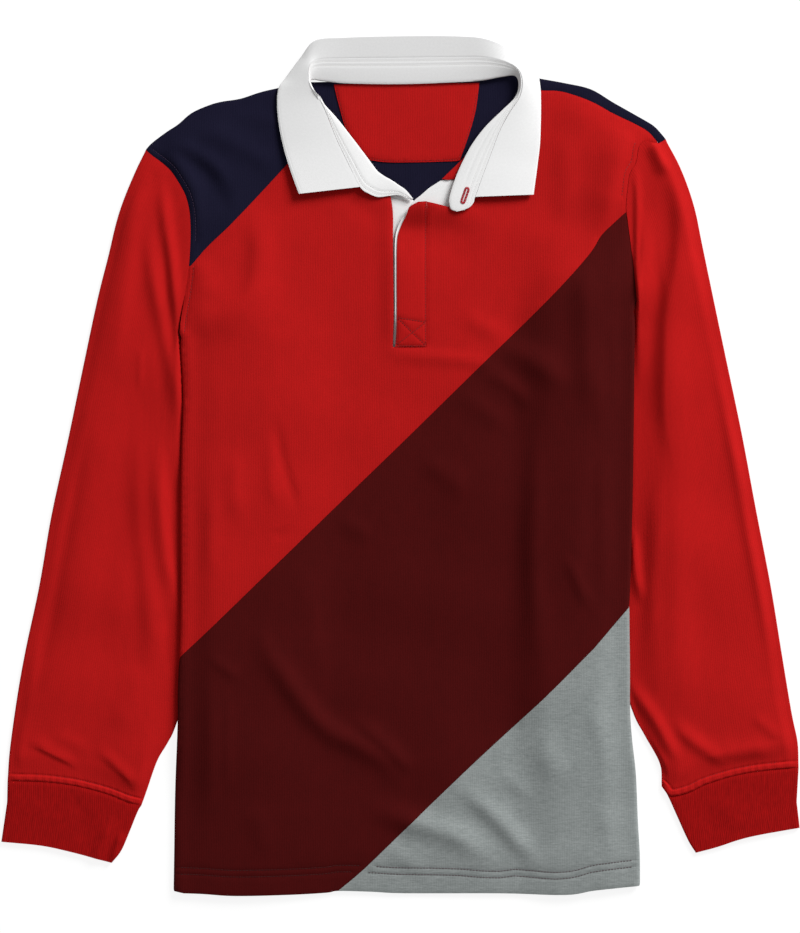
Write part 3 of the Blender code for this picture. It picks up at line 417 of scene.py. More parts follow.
# %% Shoulders and hem
LEFT_SHOULDER = rounded([
    (-246.4, 307.5), (-240.6, 313.7), (-227, 324), (-215.3, 331.7), (-202.7, 342.4), (-187.2, 349.6),
    (-173.6, 353.6), (-155.2, 356.5), (-135.8, 362.8), (-119.3, 366.7), (-93, 372.5),
])
RIGHT_SHOULDER = rounded([
    (258, 317.2), (253.2, 323), (245.4, 330.8), (228.9, 340.5), (206.6, 353.1), (185.3, 365.7),
    (161, 371.5), (133.9, 376.4), (118, 379.5),
])
STRIP_LOWER = rounded([
    (119.5, 367), (136.8, 364.7), (155.2, 363.8), (172.7, 358.9), (189.2, 352.1), (206.6, 342.4),
    (228.9, 331.7), (241.5, 324), (251, 313),
])
HEM = rounded([
    (-214, -414.4), (-191.1, -415.2), (-160, -417.1), (-108.6, -416.1), (-71.8, -414.2), (-60.1, -412.4),
    (-28.1, -413.2), (4.8, -414.7), (96, -414.7), (160.5, -416.1), (188.2, -411.9), (226, -408),
])
HEM_GREY = 5 * ROUND  # where the corner panel begins
HEM_TURNED = (-412.0, -407.0)  # y of the hem on the left and right returns
print("the shoulders span", round(float(RIGHT_SHOULDER[0, 0] - LEFT_SHOULDER[0, 0])), "mm")

# %% Seams between the blocks
SHOULDER_SEAM = rounded([
    (-204.7, 194), (-201.8, 195.5), (-187.2, 212.4), (-165.9, 232.8), (-145.5, 254.1), (-121.2, 280.3),
    (-109.6, 292.9), (-85, 318), (-65, 341),
])
CHEST_SEAM = [
    (219.4, 246.4), (206.6, 234.7), (195, 223.1), (182.4, 203.7), (143.6, 161), (72, 91), (0, 20.4),
    (-78, -55), (-155.2, -130), (-187.2, -161),
]
CORNER_SEAM = [
    (-60.1, -412.4), (-36.9, -392.8), (-9.7, -366.7), (27.2, -330.8), (72.8, -287.1), (137.7, -227),
    (188.2, -176.5),
]
print("seams of", len(SHOULDER_SEAM), len(CHEST_SEAM), "and", len(CORNER_SEAM), "points")

# %% Neckline, slot and patch
LEFT_NECK = rounded([(-93, 372.5), (-84, 357), (-73, 347.5), (-65, 341)])
LEFT_NECK_CHEST = rounded([
    (-65, 341), (-53, 327), (-42, 312.5), (-33, 300), (-26, 288), (-18, 274), (-9.7, 264.5),
])
SLOT_LEFT = rounded([(-9.7, 264.5), (-6.8, 245.4), (-6.8, 213.4), (-6.2, 151.3), (-7, 115.6)])
SLOT_RIGHT = 26.0
RIGHT_NECK = np.concatenate([
    rounded([(26, 256.5), (35.9, 254.3), (46.6, 251.4)]),
    rounded([(56, 257), (58, 270), (53, 277.8), (46, 277.5)]),
    rounded([(40.7, 278.6), (61.1, 298.4), (72, 311), (86, 326), (101, 341.5), (113.5, 354), (119.5, 367)]),
])
BACK_NECK = [(94, 379), (76.6, 375.2), (46.6, 374), (7.8, 372.3), (-30, 372.3), (-64, 373.2)]
NECK_PATCH = np.concatenate([
    [(-64, 370.4), (77, 372)],
    rounded([(77, 371), (73.7, 346.3), (67.4, 323), (58.2, 296.8)])[1:],
    rounded([(57, 296.3), (46.6, 295.8), (17.5, 294.9), (-11.6, 294.9), (-28.1, 296.8)])[1:],
    rounded([(-30, 297.6), (-36, 301), (-51.4, 324.9), (-59.2, 350.2), (-64, 369.6)])[1:],
])


def left_bend(y):
    """x where the left side's half turn starts."""
    return at_y(LEFT_SIDE, y) + BEND_OUTER


def right_bend(y):
    """x where the right side's half turn starts."""
    return at_y(RIGHT_SIDE, y) - BEND_OUTER


print("the neckline drops", round(float(LEFT_NECK[0, 1] - LEFT_NECK_CHEST[-1, 1])), "mm")


# %% [markdown]
# ## Creases
#
# Laid cloth keeps soft creases where it was folded and pulled. Each is placed along a short curve.
# Its section is a bell, h = rise * exp(-(d / width)^2), with its own width on either side, so that one flank
# can be steeper, and it dies away towards both ends. The points run down or to the right, so the left side
# of a crease is the one that faces the light.

# %% A crease's height
FADE = 0.34  # share of a crease over which each end dies away
REACH = 2.6  # widths from a crease at which it has no height left


def crease(x, y, points, left_width, right_width, rise):
    """Height of one ridge, or of a trough where rise is negative, at each (x, y)."""
    line = rounded(points, 6)
    reach = REACH * max(left_width, right_width)
    low, high = line.min(axis=0) - reach, line.max(axis=0) + reach
    near = np.flatnonzero((x > low[0]) & (x < high[0]) & (y > low[1]) & (y < high[1]))
    height = np.zeros(x.shape)
    if not len(near):
        return height
    place = np.stack([x[near], y[near]], axis=1)[:, None]
    start, step = line[None, :-1], np.diff(line, axis=0)[None]
    share = np.clip(((place - start) * step).sum(axis=2) / (step**2).sum(axis=2), 0, 1)
    gap = place - (start + share[..., None] * step)
    distance = np.linalg.norm(gap, axis=2)
    best = distance.argmin(axis=1)
    rows = np.arange(len(near))
    side = step[0, best, 0] * gap[rows, best, 1] - step[0, best, 1] * gap[rows, best, 0]
    along = (best + share[rows, best]) / (len(line) - 1)
    width = np.where(side > 0, left_width, right_width)
    bell = rise * np.exp(-((distance[rows, best] / width) ** 2))
    height[near] = bell * smooth(0, FADE, along) * smooth(0, FADE, 1 - along)
    return height


def creases(table, x, y):
    """Height of all the creases of a table at each (x, y)."""
    x, y = np.broadcast_arrays(np.asarray(x, float), np.asarray(y, float))
    shape = x.shape
    x, y = x.ravel(), y.ravel()
    return sum(crease(x, y, *row) for row in table).reshape(shape)


# %% Slow unevenness of laid cloth
DRIFT_FLAT = 420  # a wave's length over its height
DRIFT = np.random.default_rng(7)
DRIFT_WAVES = [
    (DRIFT.uniform(0, 2 * math.pi), DRIFT.uniform(48, 150), DRIFT.uniform(0, 2 * math.pi)) for _ in range(12)
]  # direction, wavelength in mm, phase


def drift(x, y):
    """Slow unevenness of laid cloth: a sum of twelve low sine waves, each 1/420 of its length high."""
    return sum(
        length / DRIFT_FLAT
        * np.sin(2 * math.pi * (x * math.cos(turn) + y * math.sin(turn)) / length + phase)
        for turn, length, phase in DRIFT_WAVES
    )


print("drift waves, mm:", sorted(round(length) for _, length, _ in DRIFT_WAVES))

# %% Creases of the middle and corner blocks
# Each row: points along it, width to its left and right, rise, in mm.
LOWER_CREASES = [
    # the long crease across the middle block, and the short one over it
    ([(-153, -147), (-137, -163), (-125, -185), (-112, -204), (-97, -225), (-81, -245), (-64, -259),
      (-45, -268), (-27, -278), (-12, -290), (-1, -305), (8, -320)], 9.5, 11, 4.6),
    ([(-54, -238), (-29, -259), (-12, -273), (3, -289), (13, -301)], 9, 5, 3.0),
    # two broad ones that run from it into the corner block
    ([(-42, -326), (-12, -338), (10, -345), (32, -351), (54, -359), (75, -372), (95, -395)], 11, 11, 5.0),
    ([(46, -303), (72, -323), (91, -339), (107, -356), (122, -374), (138, -398)], 10, 9, 4.6),
    ([(100, -296), (112, -310), (128, -322)], 7, 6, 1.4),
    ([(128, -262), (146, -288), (160, -308)], 12, 12, 1.6),
    ([(180, -232), (196, -262), (204, -300)], 10, 11, 1.4),
    ([(190, -330), (206, -354), (212, -380)], 9, 10, 1.2),
    ([(-22, -368), (8, -384), (30, -404)], 9, 8, 1.2),
]
print(len(LOWER_CREASES), "creases in the middle and corner blocks")

# %% Creases of the body's left part
LEFT_CREASES = [
    ([(-148, 262), (-138, 225), (-138, 195), (-146, 166), (-172, 142), (-198, 134)], 17, 10, 4.4),
    ([(-196, 205), (-190, 182), (-186, 158)], 12, 9, 1.6),
    ([(-121, 54), (-117, 20), (-111, -5), (-104, -28), (-99, -50)], 3.6, 3.2, -1.9),
    ([(-125, 34), (-125, -10), (-117, -46)], 5, 7, 1.4),
    ([(-126, -70), (-116, -66), (-104, -62)], 2.6, 2.6, -1.2),
    ([(-158, 20), (-160, -20), (-158, -58)], 8, 9, 1.7),
    ([(-184, -20), (-185, -60), (-187, -110)], 8, 7, 1.6),
    ([(-186, -184), (-169, -197), (-154, -206)], 6, 4, 1.6),
    ([(-184, -196), (-182, -270), (-184, -356)], 9, 9, 1.3),
    ([(-168, -206), (-167, -262), (-169, -328)], 4, 3, 1.0),
    ([(-150, -330), (-136, -350), (-128, -384)], 10, 10, 1.2),
    ([(-94, -90), (-84, -150), (-80, -204)], 9, 12, 1.4),
]
print(len(LEFT_CREASES), "creases in the left part")

# %% Creases of the body's right part
RIGHT_CREASES = [
    ([(86, 117), (111, 111), (131, 101), (149, 87), (165, 68)], 12, 12, 3.4),
    ([(74, 91), (98, 84), (116, 70), (127, 52)], 7, 7, 1.9),
    ([(50, 70), (75, 59), (92, 47), (107, 31)], 8, 10, 1.5),
    ([(14, 8), (46, -8), (66, -34)], 11, 12, 1.9),
    ([(-62, -44), (-44, -60), (-24, -68)], 9, 9, 1.4),
    ([(178, 204), (180, 170), (181, 120), (184, 80), (191, 30)], 13, 12, 3.6),
    ([(207, 150), (209, 95), (211, 40)], 5, 4, 2.6),
    ([(132, 60), (131, -20), (129, -80), (131, -140), (134, -210)], 9, 11, 3.4),
    ([(178, 70), (175, 0), (172, -60), (171, -120), (170, -190)], 13, 34, 3.6),
    ([(160, -84), (172, -112), (188, -146)], 6, 5, 1.9),
    ([(196, 20), (199, -60), (204, -140)], 9, 8, 1.8),
]
print(len(RIGHT_CREASES), "creases in the right part")

# %% Creases of the chest and the shoulder block
UPPER_CREASES = [
    # chest beside the armholes and the placket
    ([(226, 334), (218, 314), (210.5, 290), (206, 270), (199, 246), (188, 220)], 8, 22, 6.0),
    ([(150, 330), (160, 300), (160, 262), (150, 230)], 12, 14, 2.2),
    ([(104, 122), (82, 135), (56, 149)], 9, 9, 1.7),
    ([(-6, 264), (-6, 200), (-6.5, 150), (-8, 98)], 32, 10, 3.0),
    ([(-20, 107.5), (20, 107), (60, 104), (104, 96)], 5, 7, 1.9),
    ([(-62, 268), (-36, 250), (-12, 236)], 10, 12, -1.4),
    ([(-14, 266), (14, 262), (36, 257), (54, 252), (84, 244)], 10, 14, 2.5),
    ([(-16, 232), (12, 229), (46, 225), (92, 222)], 13, 28, -3.6),
    # shoulder block
    ([(-240, 308), (-219, 296), (-203, 275), (-196, 248), (-194, 206)], 7, 7, 3.0),
    ([(-232, 317), (-206, 308), (-178, 290), (-160, 264)], 7, 7, 2.4),
    ([(-214, 300), (-192, 286), (-176, 262), (-168, 238)], 8, 8, -2.0),
    ([(-204, 326), (-172, 318), (-138, 300), (-118, 282)], 10, 9, 2.0),
    ([(-168, 346), (-140, 340), (-112, 330)], 8, 7, 1.2),
]
FRONT_CREASES = [*LOWER_CREASES, *LEFT_CREASES, *RIGHT_CREASES, *UPPER_CREASES]
print(len(FRONT_CREASES), "creases on the front")

# %% Creases of the back, as low as its own weight and the table leave them
BACK_CREASES = [
    ([(-128, 176), (-100, 150), (-92, 98)], 12, 12, 0.8),
    ([(66, 196), (58, 140), (62, 84), (44, 20)], 12, 13, 0.9),
    ([(-120, 60), (-80, 20), (-30, -10), (8, -60)], 14, 11, 1.0),
    ([(-60, -120), (-20, -170), (36, -200), (74, -258)], 13, 12, 1.0),
    ([(104, -60), (92, -118), (98, -184)], 12, 12, 0.8),
    ([(-92, -262), (-56, -300), (-50, -366)], 12, 12, 0.9),
]
print(len(BACK_CREASES), "creases on the back")

# %% [markdown]
# ## Levels
#
# A body laid flat is a front on a back. Where the sides are turned under, five layers stack up, so the front
# is higher there and eases down towards the middle. All pieces on the front take their height from it.

# %% Level functions
BEND_UP = 0.35  # mm over a floor at which a height starts to bend up


def at_least(floor, value):
    """The value, kept softly over the floor: floor + s log(1 + exp((value - floor) / s)), s = BEND_UP."""
    return floor + BEND_UP * np.logaddexp(0, (value - floor) / BEND_UP)


def sleeve_under(y):
    """Height that a sleeve lifts the body's side by."""
    return SLEEVE_STACK * smooth(-330, -266, y)


def bend_centre(y):
    """Height of the axis of a side's half turn."""
    return sleeve_under(y) + BEND_OUTER


def back_bottom(x, y):
    """Underside of the back: on the table in the middle, on the stacked layers at the sides."""
    left = (1 - smooth(130, 225, y)) * (1 - smooth(SIDE_LEVEL, LEFT_FALL, x - at_y(LEFT_SIDE, y)))
    right = (1 - smooth(168, 250, y)) * (1 - smooth(SIDE_LEVEL, RIGHT_FALL, at_y(RIGHT_SIDE, y) - x))
    return (bend_centre(y) + LAY) * (left + right)


print("a sleeve lifts the body's side by", round(float(sleeve_under(0)), 1), "mm")

# %% Upper faces of the front and the back
SHOULDER_LINE = np.concatenate([LEFT_SHOULDER, RIGHT_SHOULDER[::-1]])
BASE_AIR, SLACK_AIR = 0.5, 2.6  # air under the front everywhere, and what creases can use away from the neck
LEAST_AIR = 0.25
PLACKET_AIR, PLACKET_MIDDLE = 2.2, 8  # air under the placket's layers, and the x of its middle
RIM, RIM_WIDTH = 0.9, 3.4  # how far the left side's turned edge stands up, and how soon


def front_top(x, y):
    """Upper face of the front: back, two walls and air, plus creases that fade out at the edges."""
    x, y = np.asarray(x, float), np.asarray(y, float)
    inside = np.minimum(x - at_y(LEFT_SIDE, y), at_y(RIGHT_SIDE, y) - x)
    aside = np.abs(x - PLACKET_MIDDLE)
    placket = (1 - smooth(40, 105, aside)) * smooth(52, 100, y)
    away = 1 - smooth(215, 262, y) * (1 - smooth(135, 175, aside))
    slack = (SLACK_AIR + drift(x, y)) * away * (1 - 0.75 * placket) + creases(FRONT_CREASES, x, y)
    air = at_least(LEAST_AIR, BASE_AIR + PLACKET_AIR * placket + slack)
    below = np.interp(x, SHOULDER_LINE[:, 0], SHOULDER_LINE[:, 1]) - y
    edge = smooth(9, 34, inside) * smooth(2, 30, below)
    hem = 0.35 + 0.65 * smooth(-416, -372, y)
    fold = np.maximum(inside - BEND_OUTER, 0) / RIM_WIDTH
    rim = (RIM + 0.35 * np.sin(y / 31 + x / 90)) * fold * np.exp(1 - fold)
    rim = rim * (1 - smooth(118, 150, y)) * (x < 0)
    return back_bottom(x, y) + 2 * JERSEY + LAY + air * edge * hem + rim


def back_top(x, y):
    """Upper face of the back."""
    return back_bottom(x, y) + JERSEY + creases(BACK_CREASES, x, y)


print("the front's face is", round(float(front_top(0, 0)), 1), "mm over the table in the middle")


# %% [markdown]
# ## From a pattern to a panel
#
# A body panel is drawn flat, as a cutter would: p runs across and y along the shirt, and p runs on round
# each side and along the layer beneath. The points inside the outline are triangulated there, and one
# function lifts them all into place: flat cloth first, then half a turn of radius r, z = c + r cos(p / r),
# and then flat again underneath. Close rows of points follow the edges and the stitch lines, so that both
# can sink in.

# %% Distances in a pattern
SAME_POINT = 0.05  # mm below which two points of an outline are one


def inside_outline(points, outline):
    """Even-odd test of each point against a closed curve."""
    a, b = outline, np.roll(outline, -1, axis=0)
    x, y = points[:, :1], points[:, 1:]
    rise = np.where(a[:, 1] == b[:, 1], 1, b[:, 1] - a[:, 1])
    crosses = ((a[:, 1] > y) != (b[:, 1] > y)) & (x < a[:, 0] + (y - a[:, 1]) * (b[:, 0] - a[:, 0]) / rise)
    return crosses.sum(axis=1) % 2 == 1


def distance_to(points, curve):
    """Distance from each point to an open curve, in blocks of about 1500 points to save memory."""
    a, step = curve[None, :-1], np.diff(curve, axis=0)[None]
    square = np.maximum((step**2).sum(axis=2), 1e-9)
    found = []
    for block in np.array_split(points, max(1, len(points) // 1500)):
        share = np.clip(((block[:, None] - a) * step).sum(axis=2) / square, 0, 1)
        found.append(np.linalg.norm(block[:, None] - (a + share[..., None] * step), axis=2).min(axis=1))
    return np.concatenate(found)


def away_from(x, y, curve):
    """Distance of each (x, y) to a curve, in the shape of x."""
    return distance_to(np.stack([x.ravel(), y.ravel()], axis=1), curve).reshape(x.shape)


def divided(outline, longest):
    """The closed outline with no side longer than the given length, and no repeated point."""
    outline = np.array(outline, float)
    keep = np.linalg.norm(outline - np.roll(outline, 1, axis=0), axis=1) > SAME_POINT
    outline = outline[keep]
    sides = np.roll(outline, -1, axis=0) - outline
    counts = np.maximum(1, np.ceil(np.linalg.norm(sides, axis=1) / longest)).astype(int)
    owner = np.repeat(np.arange(len(outline)), counts)
    share = np.concatenate([np.arange(n) / n for n in counts])
    return outline[owner] + sides[owner] * share[:, None]


# %% Points and triangles of a pattern
GRID = 4.6  # mm between points of a panel that shows
EDGE_ROWS = (0.9, 2.4)  # rows of points inside an edge, mm
LINE_ROWS = (-1.7, -0.8, 0.0, 0.8, 1.7)  # rows along a stitch line, mm


def spread_out(low, high, grid):
    """An even grid of points over a box, its rows shifted by turns, and the y of the rows."""
    ys = np.arange(low[1] + grid / 2, high[1], grid)
    xs = np.arange(low[0] + grid / 2, high[0], grid)
    spread = np.stack(np.meshgrid(xs, ys), axis=-1).reshape(-1, 2)
    spread[:, 0] += np.where(np.round(spread[:, 1] / grid) % 2 == 0, grid / 4, -grid / 4)
    return spread, ys


def kept_clear(points, ring, closed, lines, from_edge, from_line):
    """The points inside a ring that keep their distance from its edge and from the stitch lines."""
    points = points[inside_outline(points, ring)]
    if len(points):
        points = points[distance_to(points, closed) > from_edge]
    for line in lines if from_line else ():
        if len(points):
            points = points[distance_to(points, line) > from_line]
    return points


def faced_up(pattern, corners):
    """The triangles, each in the order that faces up, without those of no area."""
    a, b, c = (pattern[corners[:, k]] for k in range(3))
    turn = (b[:, 0] - a[:, 0]) * (c[:, 1] - a[:, 1]) - (b[:, 1] - a[:, 1]) * (c[:, 0] - a[:, 0])
    corners[turn < 0] = corners[turn < 0][:, ::-1]
    return corners[np.abs(turn) > 1e-6]


# %% A whole pattern piece
def triangulated(outline, lines, columns=(), grid=GRID):
    """Pattern points and triangles: an even grid, close rows inside the edge and along the stitch lines, and
    close columns, each a function of y, where the cloth turns."""
    ring = divided(outline, grid)
    closed = np.concatenate([ring, ring[:1]])
    spread, ys = spread_out(ring.min(axis=0), ring.max(axis=0), grid)
    none = np.empty((0, 2))
    sewn = [shifted(line, side) for line in lines for side in LINE_ROWS]
    along_edge = [shifted(closed, side * depth) for depth in EDGE_ROWS for side in (-1, 1)]
    turned = [np.stack([at(ys), ys], axis=1) for at in columns]
    rows = [  # points, their clearance from the edge and from the stitch lines
        (np.concatenate([none, *sewn]), 0.7, 0), (np.concatenate(along_edge), 0.8, 2.0),
        (np.concatenate([none, *turned]), 3.0, 2.0), (spread, 0.75 * grid, 3.6),
    ]
    points = np.concatenate([ring, *(kept_clear(some, ring, closed, lines, *gaps) for some, *gaps in rows)])
    edges = [(i, (i + 1) % len(ring)) for i in range(len(ring))]
    found = delaunay_2d_cdt([Vector(p) for p in points], edges, [], 1, 1e-5)
    pattern = np.array([tuple(p) for p in found[0]])
    corners = np.array([tuple(f) for f in found[2] if len(f) == 3])
    return pattern, faced_up(pattern, corners), closed


# %% Meshes
SHARP = math.radians(62)  # edges that turn more than this stay sharp


def add_mesh(name, points, faces, cloth_map, material):
    """A smooth mesh from points in mm, faces and a cloth map in mm, placed in the frame."""
    mesh = bpy.data.meshes.new(name)
    mesh.from_pydata(((points + DRAWN_ZERO) * MM).tolist(), [], faces)
    corner = np.zeros(len(mesh.loops), int)
    mesh.loops.foreach_get("vertex_index", corner)
    layer = mesh.uv_layers.new(name="cloth")
    layer.data.foreach_set("uv", (cloth_map[corner] * MM).astype(np.float32).ravel())
    mesh.materials.append(material)
    mesh.shade_smooth()
    mesh.set_sharp_from_angle(angle=SHARP)
    made = bpy.data.objects.new(name, mesh)
    bpy.context.scene.collection.objects.link(made)
    return made


def seat(piece, node):
    """Rides on the shirt's one body and stands for its node, whose part it hides."""
    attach(piece, "root")
    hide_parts(node)


def walled(name, pattern, corners, outer, under, material):
    """A closed wall of cloth: the outer face, the inner face and a rim between their borders."""
    count = len(pattern)
    edges = np.concatenate([corners[:, [0, 1]], corners[:, [1, 2]], corners[:, [2, 0]]])
    key = edges[:, 0] * count + edges[:, 1]
    border = edges[~np.isin(key, edges[:, 1] * count + edges[:, 0])]
    rim = np.column_stack([border[:, 1], border[:, 0], border[:, 0] + count, border[:, 1] + count])
    faces = corners.tolist() + (corners[:, ::-1] + count).tolist() + rim.tolist()
    return add_mesh(name, np.concatenate([outer, under]), faces, np.tile(pattern, (2, 1)), material)


# %% Edges, stitch lines and the size of a cut
ROLL, STITCH_DEPTH = 0.45, 0.42  # how far an edge is rounded down and a stitch line drawn in, mm


def sunk(points, closed, lines, roll):
    """How far the cloth sinks: rounded off at its edge, and drawn in along the stitch lines."""
    drop = roll * (1 - smooth(0, EDGE_ROWS[-1], distance_to(points, closed)))
    for line in lines:
        drop = drop + STITCH_DEPTH * (1 - smooth(0, LINE_ROWS[-1], distance_to(points, line)))
    return drop


def metres(length):
    """Millimetres as metres, to a tenth of a millimetre."""
    return round(float(length) * MM, 4)


def square_metres(area):
    """Square millimetres as square metres."""
    return round(float(area) * MM * MM, 5)


def cut_size(closed):
    """Flat width, length and area of a pattern piece, in metres: the smallest box of any turn round it."""
    turn = np.radians(np.arange(0, 90, 3))
    across = closed @ np.stack([np.cos(turn), np.sin(turn)])
    along = closed @ np.stack([-np.sin(turn), np.cos(turn)])
    width, length = np.ptp(across, axis=0), np.ptp(along, axis=0)
    best = (width * length).argmin()
    a, b = closed[:-1], closed[1:]
    area = abs((a[:, 0] * b[:, 1] - b[:, 0] * a[:, 1]).sum()) / 2
    return (metres(width[best]), metres(length[best])), square_metres(area)


# %% Lifting a panel
INNER_SINK = 0.25  # how much of a sunk line the cloth's inner face shows
BEND_STEPS = 7  # columns of points on a half turn


def body_lift(top, radius):
    """Outer and inner face of a body panel whose flat part has upper face top(x, y)."""
    span = math.pi * radius

    def lift(p, y, drop):
        """Both faces of the points: flat, on the half turn, or past it on the layer beneath."""
        left, right = left_bend(y), right_bend(y)
        past = np.maximum(left - p, p - right)
        side = np.where(p < (left + right) / 2, -1.0, 1.0)
        start = np.where(side < 0, left, right)
        turn = np.clip(past / radius, 0, math.pi)
        run = np.maximum(past - span, 0)
        faces = []
        for inset, sink in ((0.0, drop), (JERSEY, INNER_SINK * drop)):
            r = radius + JERSEY / 2 - inset - sink
            x = np.where(past <= 0, p, start + side * (r * np.sin(turn) - run))
            z = np.where(past <= 0, top(p, y) - inset - sink, bend_centre(y) + r * np.cos(turn))
            faces.append(np.stack([x, y, z], axis=1))
        return faces

    return lift


def sheet_lift(top, thickness):
    """Outer and inner face of a small flat piece whose upper face is top(x, y)."""

    def lift(p, y, drop):
        """Both faces of the points; the lower one stays level."""
        z = top(p, y)
        return np.stack([p, y, z - drop], axis=1), np.stack([p, y, z - thickness], axis=1)

    return lift


def bend_columns(radius):
    """Columns of points round both half turns, the left one's first."""
    steps = np.linspace(0, math.pi * radius, BEND_STEPS)
    left = [lambda y, s=s: left_bend(y) - s for s in steps]
    return left + [lambda y, s=s: right_bend(y) + s for s in steps]


# %% One cut piece of cloth
PIECES = {}  # by name: the mesh, its slot, its flat size, its area and what it rests on


def panel(name, outline, lift, material, slot, rests_on, lines=(), columns=(), grid=GRID, roll=ROLL):
    """One cut piece of cloth from its outline, with its stitch lines sunk in."""
    pattern, corners, closed = triangulated(outline, lines, columns, grid)
    outer, under = lift(pattern[:, 0], pattern[:, 1], sunk(pattern, closed, lines, roll))
    piece = walled(name + "_cloth", pattern, corners, outer, under, material)
    PIECES[name] = (piece, slot, *cut_size(closed), rests_on)
    print(name, "has", len(corners) * 2, "triangles")


# %% [markdown]
# ## The front
#
# The front is four blocks: a navy shoulder, a red chest with a slot for the placket, a broad maroon band and
# a heather grey corner. The blocks share their seam curves, so neighbours meet exactly. A navy strip comes
# over the shoulder from the back.

# %% Seams that run on round the sides
FRONT_SPAN = math.pi * FRONT_BEND  # length of the front's half turn


def turned_seam(start, side, y_top, y_under, y_end):
    """A seam's way round a side: down the half turn in even steps, then along the layer beneath."""
    beneath = FRONT_SPAN + RETURN_FRONT * np.array([0.5, 1])
    past = np.concatenate([np.linspace(0, FRONT_SPAN, BEND_STEPS), beneath])
    height = np.interp(past, [0, FRONT_SPAN, FRONT_SPAN + RETURN_FRONT], [y_top, y_under, y_end])
    return np.stack([start + side * past, height], axis=1)


def under_side(side, y_from, y_to, length):
    """The side seam's line on the layer beneath."""
    ys = np.array([y_from, y_to], float)
    x = left_bend(ys) - FRONT_SPAN - length if side < 0 else right_bend(ys) + FRONT_SPAN + length
    return np.stack([x, ys], axis=1)


def underarm(table, side, limit):
    """The armhole's line on round the side, no further in than the limit."""
    past, ys = np.array(table, float).T
    bend = left_bend(ys) if side < 0 else right_bend(ys)
    return np.stack([bend + side * np.minimum(past, limit), ys], axis=1)


CHEST_LOW = np.concatenate([
    rounded(CHEST_SEAM), turned_seam(float(left_bend(-183)), -1, -183, -191, -258),
])
CORNER_TOP = np.concatenate([
    rounded(CORNER_SEAM), turned_seam(float(right_bend(-140)), 1, -140, -132, -63),
])
print("the chest's lower seam has", len(CHEST_LOW), "points and the corner's", len(CORNER_TOP))


# %% Stitch lines on the front
HEM_LINE, TWIN = 25.0, 6.4  # the hem's depth and the gap of its twin needles
HEM_POINTS = 116
HEM_PAST = [7, 0]  # how far the lines run past the hem's curve at either end
TOPSTITCH = 5.0  # inside the armhole seam
HEM_DROOP = rounded([
    (-222, 0), (-20, 0), (55, -1), (90, -4), (110, -1.2), (148, -3), (172, -1.5), (190, 0), (234, 0.8),
])  # rows here are x, droop


def hem_line(depth):
    """A line that follows the hem at the given depth, and droops a little where its cloth is creased."""
    x, y = np.concatenate([[HEM[0] - HEM_PAST], HEM, [HEM[-1] + HEM_PAST]]).T
    return resampled(np.stack([x, y + depth + np.interp(x, *HEM_DROOP.T)], axis=1), HEM_POINTS)


HEM_LINES = [hem_line(HEM_LINE), hem_line(HEM_LINE - TWIN)]


def twin_lines(*spans):
    """The hem's two stitch lines, each between its own two x."""
    return [line[(line[:, 0] > low) & (line[:, 0] < high)] for line, (low, high) in zip(HEM_LINES, spans)]


LEFT_TOPSTITCH = shifted(LEFT_ARMHOLE, TOPSTITCH)[2:]
RIGHT_TOPSTITCH = shifted(RIGHT_ARMHOLE, -TOPSTITCH)[14:]
NAVY_STITCHES = [LEFT_TOPSTITCH[:SHOULDER_ROW - 6]]
RED_STITCHES = [LEFT_TOPSTITCH[SHOULDER_ROW - 2:], RIGHT_TOPSTITCH[:CHEST_ROW - 16]]
print("hem lines", HEM_LINE, "and", round(HEM_LINE - TWIN, 1), "mm over the edge")

# %% Blocks of the front
FRONT_LIFT = body_lift(front_top, FRONT_BEND)
FRONT_COLUMNS = bend_columns(FRONT_BEND)
LIMIT = FRONT_SPAN + RETURN_FRONT
ON_BACK = ["back_panel_cloth"]

shoulder_outline = np.concatenate([
    shifted(SHOULDER_SEAM, SEAM), LEFT_NECK[::-1][1:], LEFT_SHOULDER[::-1][1:], LEFT_ARMHOLE[:SHOULDER_ROW],
])
panel("front_shoulder_panel", shoulder_outline, FRONT_LIFT, NAVY_JERSEY, "navy_jersey", ON_BACK,
      NAVY_STITCHES)

chest_outline = np.concatenate([
    shifted(SHOULDER_SEAM, -SEAM)[::-1], LEFT_ARMHOLE[SHOULDER_ROW + 1:], underarm(LEFT_UNDERARM, -1, LIMIT),
    under_side(-1, 40, -258 + SEAM, RETURN_FRONT), shifted(CHEST_LOW, -SEAM)[::-1][1:],
    RIGHT_ARMHOLE[:CHEST_ROW + 1][::-1], shifted(STRIP_LOWER, -SEAM)[::-1][1:-1], RIGHT_NECK[::-1],
    [(SLOT_RIGHT, 115.6)], SLOT_LEFT[::-1], LEFT_NECK_CHEST[::-1][1:-1],
])
panel("front_chest_panel", chest_outline, FRONT_LIFT, RED_JERSEY, "red_jersey", ON_BACK, RED_STITCHES,
      FRONT_COLUMNS[:BEND_STEPS])

middle_outline = np.concatenate([
    shifted(CHEST_LOW, SEAM), under_side(-1, -280, HEM_TURNED[0], RETURN_FRONT),
    [(float(left_bend(-412)) - FRONT_SPAN, HEM_TURNED[0]), (float(left_bend(-412)), -413)],
    HEM[1:HEM_GREY + 1], shifted(CORNER_TOP, SEAM)[1:],
    under_side(1, -40, 40, RETURN_FRONT), underarm(RIGHT_UNDERARM, 1, LIMIT)[::-1],
    RIGHT_ARMHOLE[CHEST_ROW + 4:][::-1],
])
panel("front_middle_panel", middle_outline, FRONT_LIFT, MAROON_JERSEY, "maroon_jersey", ON_BACK,
      twin_lines((-221, -38), (-221, -46)), FRONT_COLUMNS)

